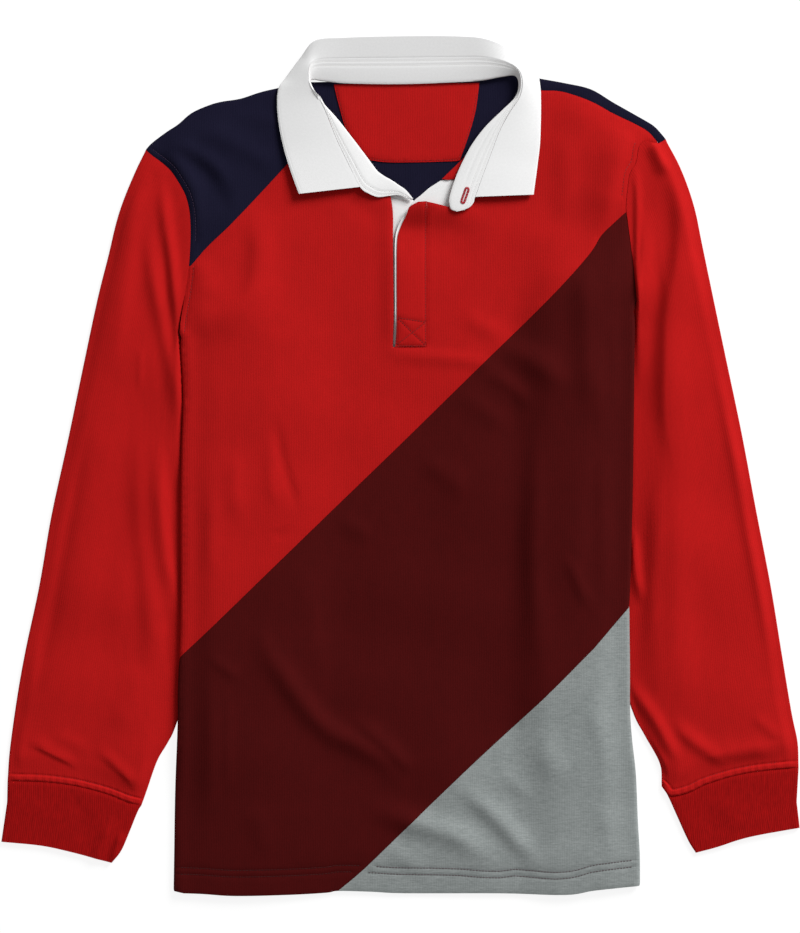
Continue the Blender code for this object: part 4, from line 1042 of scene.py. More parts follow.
corner_outline = np.concatenate([
    shifted(CORNER_TOP, -SEAM)[::-1], HEM[HEM_GREY + 1:],
    [(float(right_bend(-407)) + FRONT_SPAN, HEM_TURNED[1])],
    under_side(1, HEM_TURNED[1], -80, RETURN_FRONT),
])
panel("front_corner_panel", corner_outline, FRONT_LIFT, GREY_JERSEY, "grey_jersey", ON_BACK,
      twin_lines((-27, 233), (-35, 233)), FRONT_COLUMNS[BEND_STEPS:])

strip_outline = np.concatenate([shifted(STRIP_LOWER, SEAM), RIGHT_SHOULDER])
panel("shoulder_strip", strip_outline, FRONT_LIFT, NAVY_JERSEY, "navy_jersey", ON_BACK, grid=3)

# %% [markdown]
# ## The back
#
# The back is one plain navy piece. It shows through the neck and from the sides only. It lies on the table
# and turns under inside the front's half turns. A red half-moon patch faces the inside of its neck.

# %% Back
ARMHOLE_IN, HEM_IN, UNDERARM_IN = 1.3, 1.5, 8  # how far the back keeps inside the front, mm
SIDE_IN = 5  # and inside its own length under the sides

back_outline = np.concatenate([
    LEFT_SHOULDER[::-1], shifted(LEFT_ARMHOLE, ARMHOLE_IN)[2:-2],
    underarm(LEFT_UNDERARM, -1, LIMIT - UNDERARM_IN),
    under_side(-1, 40, HEM_TURNED[0] + HEM_IN, RETURN_BACK - SIDE_IN),
    [(float(left_bend(-410)) - 4, HEM_TURNED[0] + HEM_IN), (float(left_bend(-410)), -411.5)],
    HEM[1:-1] + [0, HEM_IN],
    [(float(right_bend(-406)), -406), (float(right_bend(-406)) + 4, HEM_TURNED[1] + HEM_IN)],
    under_side(1, HEM_TURNED[1] + HEM_IN, 40, RETURN_BACK - SIDE_IN),
    underarm(RIGHT_UNDERARM, 1, LIMIT - UNDERARM_IN)[::-1],
    shifted(RIGHT_ARMHOLE, -ARMHOLE_IN)[2:-2][::-1], RIGHT_SHOULDER, BACK_NECK,
])
panel("back_panel", back_outline, body_lift(back_top, BACK_BEND), NAVY_JERSEY, "navy_jersey", ["table_top"],
      columns=bend_columns(BACK_BEND), grid=8.0)


# %% Neck patch
def patch_top(x, y):
    """The patch lies on the back, in a slight wave."""
    return JERSEY + 0.35 + BAND + 0.25 * np.sin(x / 17) * np.sin(y / 13)


PATCH_STITCH = shifted(NECK_PATCH[2:], -1.6)[1:-1]  # 1.6 mm inside its edge
panel("back_neck_patch", NECK_PATCH, sheet_lift(patch_top, BAND), RED_JERSEY, "red_jersey", ON_BACK,
      [PATCH_STITCH], grid=3.5)

# %% [markdown]
# ## The placket
#
# A rugby placket hides its buttons: a red overlap lies on a white facing, whose edge shows as a fine piping,
# and a white under band fills the gap at the top. The overlap's foot is sewn down with a crossed box.

# %% Outlines of the placket bands
BOX_TOP, BOX_FOOT = (143.8, 139.7), 116.6  # y of the crossed box's upper corners and of its foot
OVERLAP = np.concatenate([
    rounded([
        (17.5, 256.1), (9.3, 251.2), (6, 243), (1.2, 233), (-2.6, 220), (-3.2, 188), (-3.2, 143.6),
        (-4.6, 115.8),
    ]),
    [(25.9, 115.8), (25.9, 256.6)],
])
PIPING = rounded([
    (20.4, 262.9), (13.6, 257.3), (6.8, 247.3), (-1, 234.7), (-4.6, 220.2), (-5.0, 188.2), (-5.0, 143.6),
    (-6.4, 118),
])  # the facing's edge that shows
FACING = np.concatenate([
    PIPING,
    [(8, 118), (12, 220), (20, 235), (30, 246), (54, 246), (58, 262), (55, 277), (47.5, 277.9)],
    rounded([(39.8, 277.2), (33.9, 273.5), (28.1, 269.7), (21.4, 263.8)]),
])
UNDERLAP = [(-14, 266), (-14, 110), (20, 110), (20, 252), (11, 259.5), (0, 265)]
print("the overlap is", round(float(np.ptp(OVERLAP[:, 0])), 1), "mm wide at its foot")

# %% Levels of the placket bands
OVERLAP_RAISE = 0.5
NECK_RISE = 4.4  # how far the overlap comes up to the collar
LAYER_GAP, PIPING_GAP = 0.3, 0.15
UNDER_TOP = JERSEY + LAYER_GAP + BAND
FACING_TOP = UNDER_TOP + LAYER_GAP + BAND


def overlap_top(x, y):
    """The overlap rides on the facing, rounds up a little between its edges and rises to the collar."""
    swell = 0.35 * np.sin(math.pi * np.clip((x + 4) / 30, 0, 1))
    return front_top(x, y) + OVERLAP_RAISE + swell + NECK_RISE * smooth(225, 253, y)


def facing_top(x, y):
    """Flat under the chest, and raised along its piped edge to just under the overlap."""
    raised = np.maximum(overlap_top(x, y) - JERSEY - PIPING_GAP - FACING_TOP, 0)
    raised = raised * (1 - smooth(3, 10, away_from(x, y, PIPING)))
    return FACING_TOP + raised * smooth(116, 150, y) * (1 - smooth(236, 254, y))


def underlap_top(x, y):
    """Level, just over the back."""
    return UNDER_TOP + 0 * x


print("facing at", round(FACING_TOP, 1), "and under band at", round(UNDER_TOP, 1), "mm")

# %% Placket bands
BOX_STITCH = [
    [(-2.2, BOX_TOP[0]), (24.6, BOX_TOP[1])], [(-1.9, BOX_TOP[0] - 0.6), (24.4, BOX_FOOT + 0.9)],
    [(24.2, BOX_TOP[1] - 0.8), (-2.6, BOX_FOOT + 1.4)], [(-3.0, BOX_FOOT), (24.6, BOX_FOOT)],
    [(24.9, BOX_FOOT), (24.7, 190), (24.9, 255)], [(-2.6, 142), (-3.2, 118)],
]
BOX_PITCH = 2.6
BOX_STITCH = [
    resampled(line, max(3, int(math.dist(line[-1], line[0]) / BOX_PITCH))) for line in BOX_STITCH
]
panel("placket_overlap", OVERLAP, sheet_lift(overlap_top, JERSEY), RED_JERSEY, "red_jersey",
      ["placket_facing_cloth"], BOX_STITCH, grid=2.6)
panel("placket_facing", FACING, sheet_lift(facing_top, BAND), WHITE_TWILL, "white_twill",
      ["placket_underlap_cloth"], grid=4, roll=0.12)
panel("placket_underlap", UNDERLAP, sheet_lift(underlap_top, BAND), WHITE_TWILL, "white_twill", ON_BACK,
      grid=5)

# %% [markdown]
# ## Sleeves and cuffs
#
# A sleeve laid flat is a flattened tube. Its plan blends four edges: with u across and v along, each point
# is the sum of the two blended pairs of edges less the blended corners, which is a Coons patch. Each section
# is a flat ring with round ends; the upper face takes the sleeve's creases.

# %% Edges of the sleeves, mm
LEFT_SLEEVE_OUTER = rounded([
    (-246.6, 306.8), (-256.1, 287.6), (-267.7, 260), (-275.5, 236.2), (-283.2, 203.7), (-293.9, 161),
    (-308.5, 92.1), (-323, 22.3), (-338.5, -48.5), (-350.2, -116.4), (-363.3, -177.5), (-371.5, -223.1),
    (-378.7, -274.5), (-381, -305.4),
])
LEFT_SLEEVE_INNER = rounded([
    (-139, 64), (-160, -40), (-186, -160), (-216.3, -248.3), (-225, -267.7), (-235.7, -286.1),
    (-245.9, -315.2), (-251, -329.4),
])
RIGHT_SLEEVE_OUTER = rounded([
    (258, 316.4), (270.6, 292.9), (280.3, 268.7), (287.1, 245.9), (292.9, 217.3), (304.6, 161),
    (316.2, 105.7), (331.7, 32), (345.3, -40.7), (359.9, -116.4), (370.5, -181.4), (380.2, -239.6),
    (386, -268), (387, -292.5),
])
RIGHT_SLEEVE_INNER = rounded([
    (154, 64), (172, -40), (198, -150), (224.1, -233.8), (236.7, -260), (252.2, -288.6), (254, -311),
])
LEFT_SLEEVE_HEAD = np.concatenate([
    [(-246.4, 307.5)], LEFT_ARMHOLE,
    rounded([(-210.8, 124), (-205, 110), (-190, 91), (-166, 74), (-139, 64)]),
])
RIGHT_SLEEVE_HEAD = np.concatenate([
    [(258, 317.2)], RIGHT_ARMHOLE[:-4],
    rounded([
        (229.2, 160), (228.6, 157), (227.2, 153.5), (225, 149), (219, 134), (204, 104), (182, 80), (154, 64),
    ]),
])
print("sleeve heads of", len(LEFT_SLEEVE_HEAD), "and", len(RIGHT_SLEEVE_HEAD), "points")

# %% Edges of the cuffs, mm
LEFT_CUFF_SEAM = rounded([
    (-381, -305.4), (-347.3, -306.5), (-316.2, -310.4), (-285.2, -318.2), (-264.8, -325.9), (-251, -329.4),
])
RIGHT_CUFF_SEAM = rounded([
    (387, -292.5), (359.9, -294.9), (328.8, -299.7), (297.8, -308.5), (281.3, -316.2), (262.9, -320.1),
    (254, -311),
])
LEFT_CUFF_END = rounded([
    (-387, -364.7), (-347.3, -368.6), (-316.2, -375.4), (-292.9, -381.7), (-279.8, -385.1),
])
RIGHT_CUFF_END = rounded([(388, -351.1), (349.2, -357.9), (328.8, -362.8), (308.5, -369.6), (287.1, -375.4)])
LEFT_CUFF_OUTER = [(-380.4, -306.2), (-381.4, -326), (-387, -364.7)]
LEFT_CUFF_INNER = rounded([
    (-252.6, -331), (-256.6, -340), (-262.4, -354.5), (-270.6, -373.4), (-279.8, -385.1),
])
RIGHT_CUFF_OUTER = [(385.4, -293.6), (385.1, -326), (388, -351.1)]
RIGHT_CUFF_INNER = rounded([(256.4, -313), (261.9, -324), (267.7, -337), (279.4, -362.8), (287.1, -375.4)])
print("the left cuff is", round(float(np.ptp(LEFT_CUFF_END[:, 0]))), "mm wide at its end")

# %% Creases of the left sleeve
LEFT_SLEEVE_CREASES = [
    # ridges that run down from the armhole and under the body's side
    ([(-237, 296), (-232, 278), (-229, 255), (-226, 228), (-222, 200), (-219, 170), (-216.5, 145),
      (-215, 116), (-214.5, 90), (-214.5, 60), (-215, 20)], 6, 5.5, 4.6),
    ([(-247, 254), (-243, 225), (-241, 200), (-237, 172), (-232, 148), (-227, 122), (-222, 98), (-217.5, 72),
      (-215.5, 50), (-215, 20)], 8, 8, 4.2),
    ([(-216.5, 128), (-216, 92), (-216, 60), (-216, 30), (-216.5, 0), (-217, -26)], 5, 14, 3.2),
    ([(-251, 280), (-257, 252), (-262, 222), (-265, 195), (-270, 160), (-276, 120),
      (-281, 80)], 10, 14, 3.4),
    ([(-232, 34), (-232, -10), (-231, -48), (-228, -82), (-223, -115), (-217.5, -152)], 6, 9, 4.6),
    ([(-252, 60), (-254, 0), (-252, -60), (-246, -110), (-241, -170), (-244, -224)], 11, 9, 2.4),
    ([(-252, 120), (-252, 96), (-253, 70)], 4, 3.4, 0.7),
    ([(-224, -136), (-222.5, -170), (-221, -206)], 6, 7, -2.0),
    # the broad roll down the middle and the fold along the outer edge
    ([(-276, 190), (-284, 110), (-291, 20), (-300, -80), (-312, -180), (-322, -250)], 26, 24, 2.8),
    ([(-300, 70), (-311, 0), (-323, -60), (-338, -140), (-350, -200), (-357, -250)], 8, 7, -2.2),
    ([(-262, -40), (-270, -110), (-280, -190)], 12, 14, 1.4),
    ([(-250, -190), (-262, -226), (-284, -258)], 12, 12, 1.6),
    # creases over the cuff
    ([(-366, -264), (-351, -272), (-338, -279), (-324, -286), (-309, -296)], 7, 2.8, 1.8),
    ([(-298, -274), (-283, -285), (-272, -295), (-262, -306), (-255, -320)], 7, 2.8, 1.9),
    ([(-340, -260), (-318, -268), (-300, -280)], 7, 7, 1.0),
    ([(-366, -240), (-371, -270), (-372, -296)], 6, 6, 1.2),
]
print(len(LEFT_SLEEVE_CREASES), "creases on the left sleeve")

# %% Creases of the right sleeve
RIGHT_SLEEVE_CREASES = [
    # the tucked strip along the armhole, and the ridge beside it
    ([(226, 302), (228.5, 286), (229.8, 264), (230, 240), (229.6, 215), (229.6, 190), (230, 168),
      (230, 140), (229.6, 108)], 3.6, 2.8, 3.2),
    ([(238, 262), (237, 238), (236.5, 215), (235, 190), (233, 165), (232, 130), (232.5, 90),
      (233, 50)], 10, 4, 3.6),
    # the roll down the sleeve: a steep inner flank and a long outer one
    ([(247, 308), (258, 288), (266, 269), (271, 250), (273, 230), (271, 208), (268, 188), (263.5, 168),
      (260, 140), (258.5, 100), (258, 60), (261, 30), (266, 5), (273, -28)], 20, 8.5, 5.8),
    ([(243, 320), (248, 307), (254, 293), (259, 280)], 6, 7, 4.4),
    ([(268, 300), (280, 270), (288, 236)], 9, 10, 1.6),
    # the fold along the outer edge
    ([(302, 156), (309, 112), (318, 60), (326, 20), (334, -20), (340, -60), (350, -110), (358, -150),
      (365, -190), (372, -234)], 6, 8, 3.8),
    ([(276, 40), (284, -20), (292, -80), (300, -170)], 20, 18, 1.8),
    # under the body's side, down to the inner edge
    ([(224.5, -56), (227, -84), (230, -112), (235, -136)], 5, 4.5, 3.4),
    ([(247, 0), (247, -60), (245, -110), (244, -150), (240, -196)], 8, 7, 1.8),
    ([(262, 50), (263, -10), (265, -70), (267, -130), (268, -190), (274, -262)], 19, 23, 5.2),
    ([(220, -200), (231, -222), (244, -242), (254, -258), (264, -277), (276, -293)], 7, 6, 3.8),
    ([(262, -238), (272, -255), (283, -266), (297, -276), (313, -286), (328, -290)], 8, 6.5, 3.0),
    ([(300, -270), (322, -279), (345, -277), (370, -276)], 11, 8, 2.8),
    ([(338, -240), (356, -254), (370, -266)], 6, 5, 1.2),
]
print(len(RIGHT_SLEEVE_CREASES), "creases on the right sleeve")

# %% Creases of both cuffs
CUFF_CREASES = [
    ([(-300, -396), (-293, -374), (-286, -358), (-278, -338)], 6, 7, 2.2),
    ([(-268, -352), (-273, -364), (-277, -376), (-284, -398)], 5, 3.4, 2.8),
    ([(-322, -318), (-308, -340), (-306, -372)], 8, 8, -0.7),
    ([(-352, -322), (-350, -350)], 12, 12, 0.5),
    ([(290, -326), (300, -344), (306, -362)], 8, 8, -0.5),
    ([(312, -318), (322, -340), (330, -356)], 12, 10, 0.7),
    ([(352, -306), (356, -345)], 10, 10, -0.5),
]
print(len(CUFF_CREASES), "creases on the cuffs")


# %% The plan of a flattened tube
CORNER = 0.04  # share of the width that counts as a corner


def coons(start, end, left, right, v, u):
    """Plan points at shares u across and v along:
    (1 - u) left + u right + (1 - v) start + v end, less the blended corners."""
    low, high = at_shares(start, u), at_shares(end, u)
    su, sv = u[..., None], v[:, None, None]
    sides = (1 - su) * left[:, None] + su * right[:, None]
    blend = (1 - su) * ((1 - sv) * start[0] + sv * end[0]) + su * ((1 - sv) * start[-1] + sv * end[-1])
    return (1 - sv) * low + sv * high + sides - blend


def through_corners(even, start, ends):
    """Even columns, some of them moved onto the start curve's points, so that the tube's edge has them."""
    corner = (shares_of(start) - ends) / (1 - 2 * ends)
    column = np.round(corner * (len(even) - 1)).astype(int)
    inner = (column > 0) & (column < len(even) - 1)
    even[column[inner]] = corner[inner]
    return even


def tucked(plan, even, tuck):
    """The plan of the lower wall, which starts a little before the upper one, but not at its corners."""
    lower = plan.copy()
    ahead = plan[0] - plan[1]
    long = tuck * smooth(0, CORNER, even) * smooth(0, CORNER, 1 - even)
    lower[0] += ahead * (long / np.linalg.norm(ahead, axis=1))[:, None]
    return lower


# %% The walls of a flattened tube
CAPS = 5  # points round each long edge
CAP_ANGLES = np.radians(np.linspace(0, 180, CAPS + 2)[1:-1])
LOWER_FOLLOWS = 0.3  # how much of a crease's rise the lower wall follows


def tube_wall(place, plan, lower, u, width, height, inset, top):
    """One wall of the tube, a ring for each row: upper face, a round edge of radius r, lower face, and the
    other round edge, whose points lie at c + r sin a across and m + (crown - m) cos a up."""
    r, ends = height / 2 - inset, height / 2 / width
    upper = top(plan[..., 0], plan[..., 1], u * width, (1 - u) * width) - inset
    rounds = []
    for side, at, turn, crown in (
        (1, 1 - ends, CAP_ANGLES, upper[:, -1:]), (-1, ends, CAP_ANGLES[::-1], upper[:, :1]),
    ):
        edge = place(at + side * r * np.sin(turn)[None] / width)
        middle = (crown + inset) / 2
        z = middle + (crown - middle) * np.cos(turn)[None]
        rounds.append(np.concatenate([edge, z[..., None]], axis=2))
    lifted = LOWER_FOLLOWS * np.maximum(upper + inset - height, 0)
    face = np.concatenate([plan, upper[..., None]], axis=2)
    floor = np.concatenate([lower, (inset + lifted)[..., None]], axis=2)[:, ::-1]
    return np.concatenate([face, rounds[0], floor, rounds[1]], axis=1)


def ring_quads(near, far):
    """Quads between rings of point numbers: near, the next of near, the next of far, far."""
    return np.stack([near, np.roll(near, -1, -1), np.roll(far, -1, -1), far], axis=-1).reshape(-1, 4)


def faces_in(points, quads):
    """Whether the quads face inwards: the volume in them, a sum of (b - a) x (c - a) . a, is negative."""
    a, b, c, d = (points[quads[:, k]] for k in range(4))
    return (np.cross(b - a, c - a) * a).sum() + (np.cross(c - a, d - a) * a).sum() < 0


def joined_walls(outer, inner):
    """Points and quads of an outer and an inner wall, joined at both ends of the tube."""
    index = np.arange(2 * outer[..., 0].size).reshape(2, *outer.shape[:2])
    near, far, first, last = index[:, :-1], index[:, 1:], index[:, 0], index[:, -1]
    quads = np.concatenate([
        ring_quads(near[0], far[0]), ring_quads(near[1], far[1])[:, [0, 3, 2, 1]],
        ring_quads(first[1], first[0]), ring_quads(last[0], last[1]),
    ])
    points = np.concatenate([outer.reshape(-1, 3), inner.reshape(-1, 3)])
    return points, quads[:, ::-1] if faces_in(points, quads) else quads


# %% A flattened tube
def flat_tube(name, edges, v, across, height, thickness, top, material, tuck=0.0):
    """A laid tube between two cross curves and two long edges, as an outer and an inner wall joined at both
    ends. v holds the shares of its length where its rows lie; tuck is how far its lower wall starts before
    the upper. Gives the piece, its flat size and its cloth area."""
    start, end, left, right = edges
    start, end = np.array(start, float), resampled(end, across)
    left, right = at_shares(left, v), at_shares(right, v)
    left[0], right[0], left[-1], right[-1] = start[0], start[-1], end[0], end[-1]

    def place(u):
        """Plan points at shares u across, for every row."""
        return coons(start, end, left, right, v, u)

    even = np.linspace(0, 1, across)
    width = np.diff(place(np.tile(even, (len(v), 1))), axis=1)
    width = np.linalg.norm(width, axis=2).sum(axis=1)[:, None]
    ends = height / 2 / width
    even = through_corners(even, start, ends[0])
    u = ends + (1 - 2 * ends) * even
    plan = place(u)
    lower = tucked(plan, even, tuck)
    outer = tube_wall(place, plan, lower, u, width, height, 0.0, top)
    inner = tube_wall(place, plan, lower, u, width, height, thickness, top)
    points, quads = joined_walls(outer, inner)
    step = np.linalg.norm(np.diff(outer, axis=1, append=outer[:, :1]), axis=2)
    girth = np.concatenate([np.zeros((len(v), 1)), np.cumsum(step, axis=1)[:, :-1]], axis=1)
    run = np.concatenate([[0], np.cumsum(np.linalg.norm(np.diff(plan[:, across // 2], axis=0), axis=1))])
    cloth_map = np.stack([girth, np.broadcast_to(run[:, None], girth.shape)], axis=-1).reshape(-1, 2)
    piece = add_mesh(name, points, quads.tolist(), np.tile(cloth_map, (2, 1)), material)
    print(name, "has", 2 * len(quads), "triangles")
    round_it = step.sum(axis=1)
    return piece, (metres(round_it.max()), metres(run[-1])), square_metres(np.trapz(round_it, run))


# %% Height of a sleeve's upper face
def body_edge(armhole, side_curve, low, high):
    """x of the body's outline where a sleeve leaves it: the side below, the armhole above."""
    hole = armhole[::-1, ::-1]
    hole = hole[(hole[:, 0] > low) & (hole[:, 0] < high)]
    side = side_curve[side_curve[:, 0] < low]
    return np.concatenate([side, hole])


LEFT_EDGE = body_edge(LEFT_ARMHOLE, LEFT_SIDE, 121, 306.5)
RIGHT_EDGE = body_edge(RIGHT_ARMHOLE[2 * ROUND:], RIGHT_SIDE, 150, 315)
CUFF_BAND = 6.4  # the raised seam allowance above the cuff
LEFT_PUFF, RIGHT_PUFF = 2.4, 3.8  # air in the sleeves
SLEEVE_FLAT = 2 * JERSEY + LAY  # height of an empty sleeve
SUNK_LEAST = -0.25  # how far a trough may press it


def sleeve_top(edge, outward, puff, table, cuff_seam):
    """Level with the front at the armhole, flat under the body, soft folds where it lies free."""

    def top(x, y, from_outer, from_inner):
        """Height at each (x, y), which lies this far from the sleeve's two long edges."""
        out = (x - at_y(edge, y)) * outward
        at_seam = (front_top(at_y(edge, y), y) - SLEEVE_FLAT) * smooth(134, 176, y)
        step_down = at_seam * (1 - smooth(0, 26, out)) * smooth(0, 12, from_outer)
        to_cuff = away_from(x, y, cuff_seam)
        calm = 0.3 + 0.7 * smooth(4, 26, to_cuff)
        free = smooth(0, 14, from_outer) * smooth(0, 12, from_inner)
        soft = (puff + 1.2 * drift(x + 300, y)) * smooth(2, 30, out)
        soft = soft + creases(table, x, y) * smooth(-0.5, 1.6, out)
        folds = at_least(SUNK_LEAST, soft * free * calm) * smooth(-3.0, 1.0, out)
        band = 1.0 * smooth(0, 1.6, to_cuff) * (1 - smooth(CUFF_BAND - 1.6, CUFF_BAND, to_cuff))
        band = band - 0.55 * np.exp(-(((to_cuff - CUFF_BAND) / 1.1) ** 2))  # its stitching
        pucker = 0.3 * np.sin(x / 1.35 + 2 * np.sin(x / 9)) * (1 - smooth(0, 13, to_cuff))
        pucker = pucker * smooth(0, 2, to_cuff)
        cuffed = (band + pucker) * smooth(0, 5, from_outer) * smooth(0, 5, from_inner)
        return SLEEVE_FLAT + step_down + folds + cuffed

    return top


# %% Both sleeves
CLOSE_FROM = 0.945  # share of a sleeve's length from which its rows lie closer
SLEEVE_ROWS = np.concatenate([np.arange(138) / 138 * CLOSE_FROM, np.linspace(CLOSE_FROM, 1, 38)])
SLEEVE_ACROSS = 106
SLEEVE_TUCK = 0.9  # the lower wall runs in under the front at the armhole, so that its seam stays shut
HEAD_GAP = 0.06  # mm between a sleeve's head and the armhole
LEFT_TOP = sleeve_top(LEFT_EDGE, -1, LEFT_PUFF, LEFT_SLEEVE_CREASES, LEFT_CUFF_SEAM)
RIGHT_TOP = sleeve_top(RIGHT_EDGE, 1, RIGHT_PUFF, RIGHT_SLEEVE_CREASES, RIGHT_CUFF_SEAM)
for name, side, head, edges, top in (
    ("sleeve_left", -1, LEFT_SLEEVE_HEAD, (LEFT_CUFF_SEAM, LEFT_SLEEVE_OUTER, LEFT_SLEEVE_INNER), LEFT_TOP),
    ("sleeve_right", 1, RIGHT_SLEEVE_HEAD, (RIGHT_CUFF_SEAM, RIGHT_SLEEVE_OUTER, RIGHT_SLEEVE_INNER),
     RIGHT_TOP),
):
    piece, flat, area = flat_tube(
        name + "_cloth", (shifted(head, side * HEAD_GAP), *edges), SLEEVE_ROWS, SLEEVE_ACROSS, SLEEVE_FLAT,
        JERSEY, top, LIT_SLEEVE_JERSEY, SLEEVE_TUCK,
    )
    PIECES[name] = (piece, "red_jersey", flat, area, ["table_top"])

# %% Both cuffs
CUFF_HEIGHT = 2 * RIB + 0.6
CUFF_LEAST = 2 * RIB + 0.05
CUFF_ROWS, CUFF_ACROSS = np.linspace(0, 1, 44), 74
CUFF_GAP = 0.1  # mm between a cuff and its sleeve


def cuff_top(seam):
    """A folded band: it dips where it is sewn on, and rounds over at its end."""

    def top(x, y, from_outer, from_inner):
        """Height at each (x, y), which lies this far from the cuff's two long edges."""
        dip = 0.8 * (1 - smooth(0, 3.2, away_from(x, y, seam)))
        swell = 0.5 * smooth(0, 16, from_outer) * smooth(0, 16, from_inner)
        slack = creases(CUFF_CREASES, x, y) + 0.4 * drift(x, y + 90) * smooth(0, 9, from_outer)
        return at_least(CUFF_LEAST, CUFF_HEIGHT + swell - dip + slack)

    return top


for name, side, seam, end, outer, inner in (
    ("cuff_left", -1, LEFT_CUFF_SEAM, LEFT_CUFF_END, LEFT_CUFF_OUTER, LEFT_CUFF_INNER),
    ("cuff_right", 1, RIGHT_CUFF_SEAM, RIGHT_CUFF_END, RIGHT_CUFF_OUTER, RIGHT_CUFF_INNER),
):
    start = shifted(seam, side * CUFF_GAP)
    piece, flat, area = flat_tube(
        name + "_cloth", (start, end, [start[0], *outer[1:]], [start[-1], *inner[1:]]), CUFF_ROWS,
        CUFF_ACROSS, CUFF_HEIGHT, RIB, cuff_top(seam), RED_RIB,
    )
    PIECES[name] = (piece, "red_rib", flat, area, ["table_top"])

# %% [markdown]
# ## The collar
#
# A shirt collar is a stand, sewn to the neckline, and a leaf that folds out of it. Stations round the neck
# give three curves: the neck seam, the stand's top edge and the leaf's outer edge. Both pieces are lofted
# across those curves, s across and t round the neck: (1 - s) inner(t) + s outer(t). The stand is thickened
# along its surface normal. Behind the neck the collar rises to a fold along the outline, and the leaf goes
# back underneath as a folded wall.

# %% Stations of the collar
# Columns: neck seam x, y, z; stand's top edge x, y, z; leaf's outer edge x, y, z;
# share of the leaf that is folded down to the table; length of its edge turned in under the stand.
COLLAR = [
    (-27, 293, 8.6, -38.8, 270.6, 10.6, -98, 263.8, 11.2, 0, 0),
    (-36, 305, 8.9, -49, 291, 10.3, -104, 280, 10.0, 0, 0),
    (-49, 322, 9.3, -61, 316, 10.2, -112, 305, 8.2, 0, 0),
    (-62, 338.5, 9.6, -70, 339, 10.9, -117.4, 330, 7.8, 0, 0),
    (-74, 351.5, 9.6, -77, 354.5, 11.6, -119.3, 352, 7.2, 0, 0),
    (-82.5, 361, 9.0, -84, 366, 12.4, -117.6, 367, 6.4, 0, 0),
    (-86.6, 372, 7.4, -88.4, 378.5, 12.8, -110.6, 377.3, 5.6, 0.2, 0),
    (-84, 374.4, 6.4, -87, 389, 12.6, -97, 395.5, 8.0, 0.8, 4),
    (-74, 373.2, 5.7, -78, 394.4, 10.9, -82, 412.6, 13.2, 1, 12),
    (-50, 371.2, 5.4, -52, 395.4, 9.7, -54, 415.6, 13.3, 1, 15),
    (0, 370.5, 5.4, 0, 396, 9.5, 0, 417.1, 13.2, 1, 15),
    (50, 372.2, 5.4, 52, 396.6, 9.7, 54, 417, 13.3, 1, 15),
    (78, 373.8, 5.7, 81, 396.4, 10.9, 86, 413.6, 13.2, 1, 12),
    (99, 377.4, 6.4, 103, 391.5, 12.4, 113, 400.5, 8.0, 0.8, 4),
    (111.4, 378, 7.2, 114.4, 383.5, 12.6, 131.4, 384.4, 5.4, 0.2, 0),
    (114.6, 369, 8.6, 117.4, 371, 12.7, 136, 369.6, 6.0, 0, 0),
    (111, 357.4, 9.4, 114.4, 356.6, 12.4, 136.8, 350, 6.6, 0, 0),
    (98, 344.3, 9.8, 105.4, 342, 11.8, 136.5, 330, 7.0, 0, 0),
    (82.5, 328.8, 9.6, 96.6, 325, 11.1, 135.8, 312, 7.2, 0, 0),
    (68.6, 310, 9.2, 88.6, 304, 10.6, 133.6, 293, 7.2, 0, 0),
    (56, 285, 9.2, 80.2, 281.5, 10.8, 131.6, 278, 7.8, 0, 0),
    (48.5, 262.9, 9.9, 72.8, 260.9, 10.9, 129.6, 263.2, 8.4, 0, 0),
]
LEFT_BAND_END = [
    (12.6, 259.8, 5.9, 11.4, 258, 5.8),
    (5.8, 267.7, 6.7, 5.4, 260.4, 6.4),
    (-1, 272.5, 7.3, -1.6, 262.8, 7.0),
    (-8.4, 277.4, 7.8, -11.6, 261.9, 7.5),
    (-15.4, 281.4, 8.2, -21.3, 260.9, 8.4),
    (-21.6, 286, 8.4, -30.4, 264.2, 9.6),
]
RIGHT_BAND_END = [
    (48, 254, 10.1, 71.4, 255.4, 10.8),
    (49.6, 248.6, 10.1, 67.4, 250.8, 10.6),
    (54.6, 246.6, 10.1, 62, 248.2, 10.3),
]
print(len(COLLAR), "stations and", len(LEFT_BAND_END) + len(RIGHT_BAND_END), "on the stand's ends")


# %% Lofting a collar piece
def loft(name, rings, cloth_map, material):
    """A closed solid through rings of equal count, its two ends filled."""
    index = np.arange(rings[..., 0].size).reshape(rings.shape[:2])
    quads = ring_quads(index[:-1], index[1:])
    points = rings.reshape(-1, 3)
    faces = quads.tolist() + [index[0, ::-1].tolist(), index[-1].tolist()]
    if faces_in(points, quads):
        faces = [face[::-1] for face in faces]
    return add_mesh(name, points, faces, cloth_map.reshape(-1, 2), material)


def normals(face):
    """Unit normals of a grid surface, the cross product of its two gradients, facing up on the whole."""
    normal = np.cross(np.gradient(face, axis=0), np.gradient(face, axis=1))
    normal /= np.maximum(np.linalg.norm(normal, axis=2)[..., None], 1e-9)
    return normal * (np.sign(normal[..., 2].sum()) or 1)


def surface_map(face):
    """Lengths along and across a grid surface, for its weave."""
    middle = face[:, face.shape[1] // 2]
    run = np.cumsum(np.linalg.norm(np.diff(middle, axis=0, prepend=middle[:1]), axis=1))
    wide = np.cumsum(np.linalg.norm(np.diff(face, axis=1, prepend=face[:, :1]), axis=2), axis=1)
    return np.stack([np.broadcast_to(run[:, None], wide.shape), wide], axis=-1)


def grid_area(face):
    """Area of a grid surface, from the cross products of its cells' diagonals."""
    one, two = face[1:, 1:] - face[:-1, :-1], face[1:, :-1] - face[:-1, 1:]
    return np.linalg.norm(np.cross(one, two), axis=2).sum() / 2


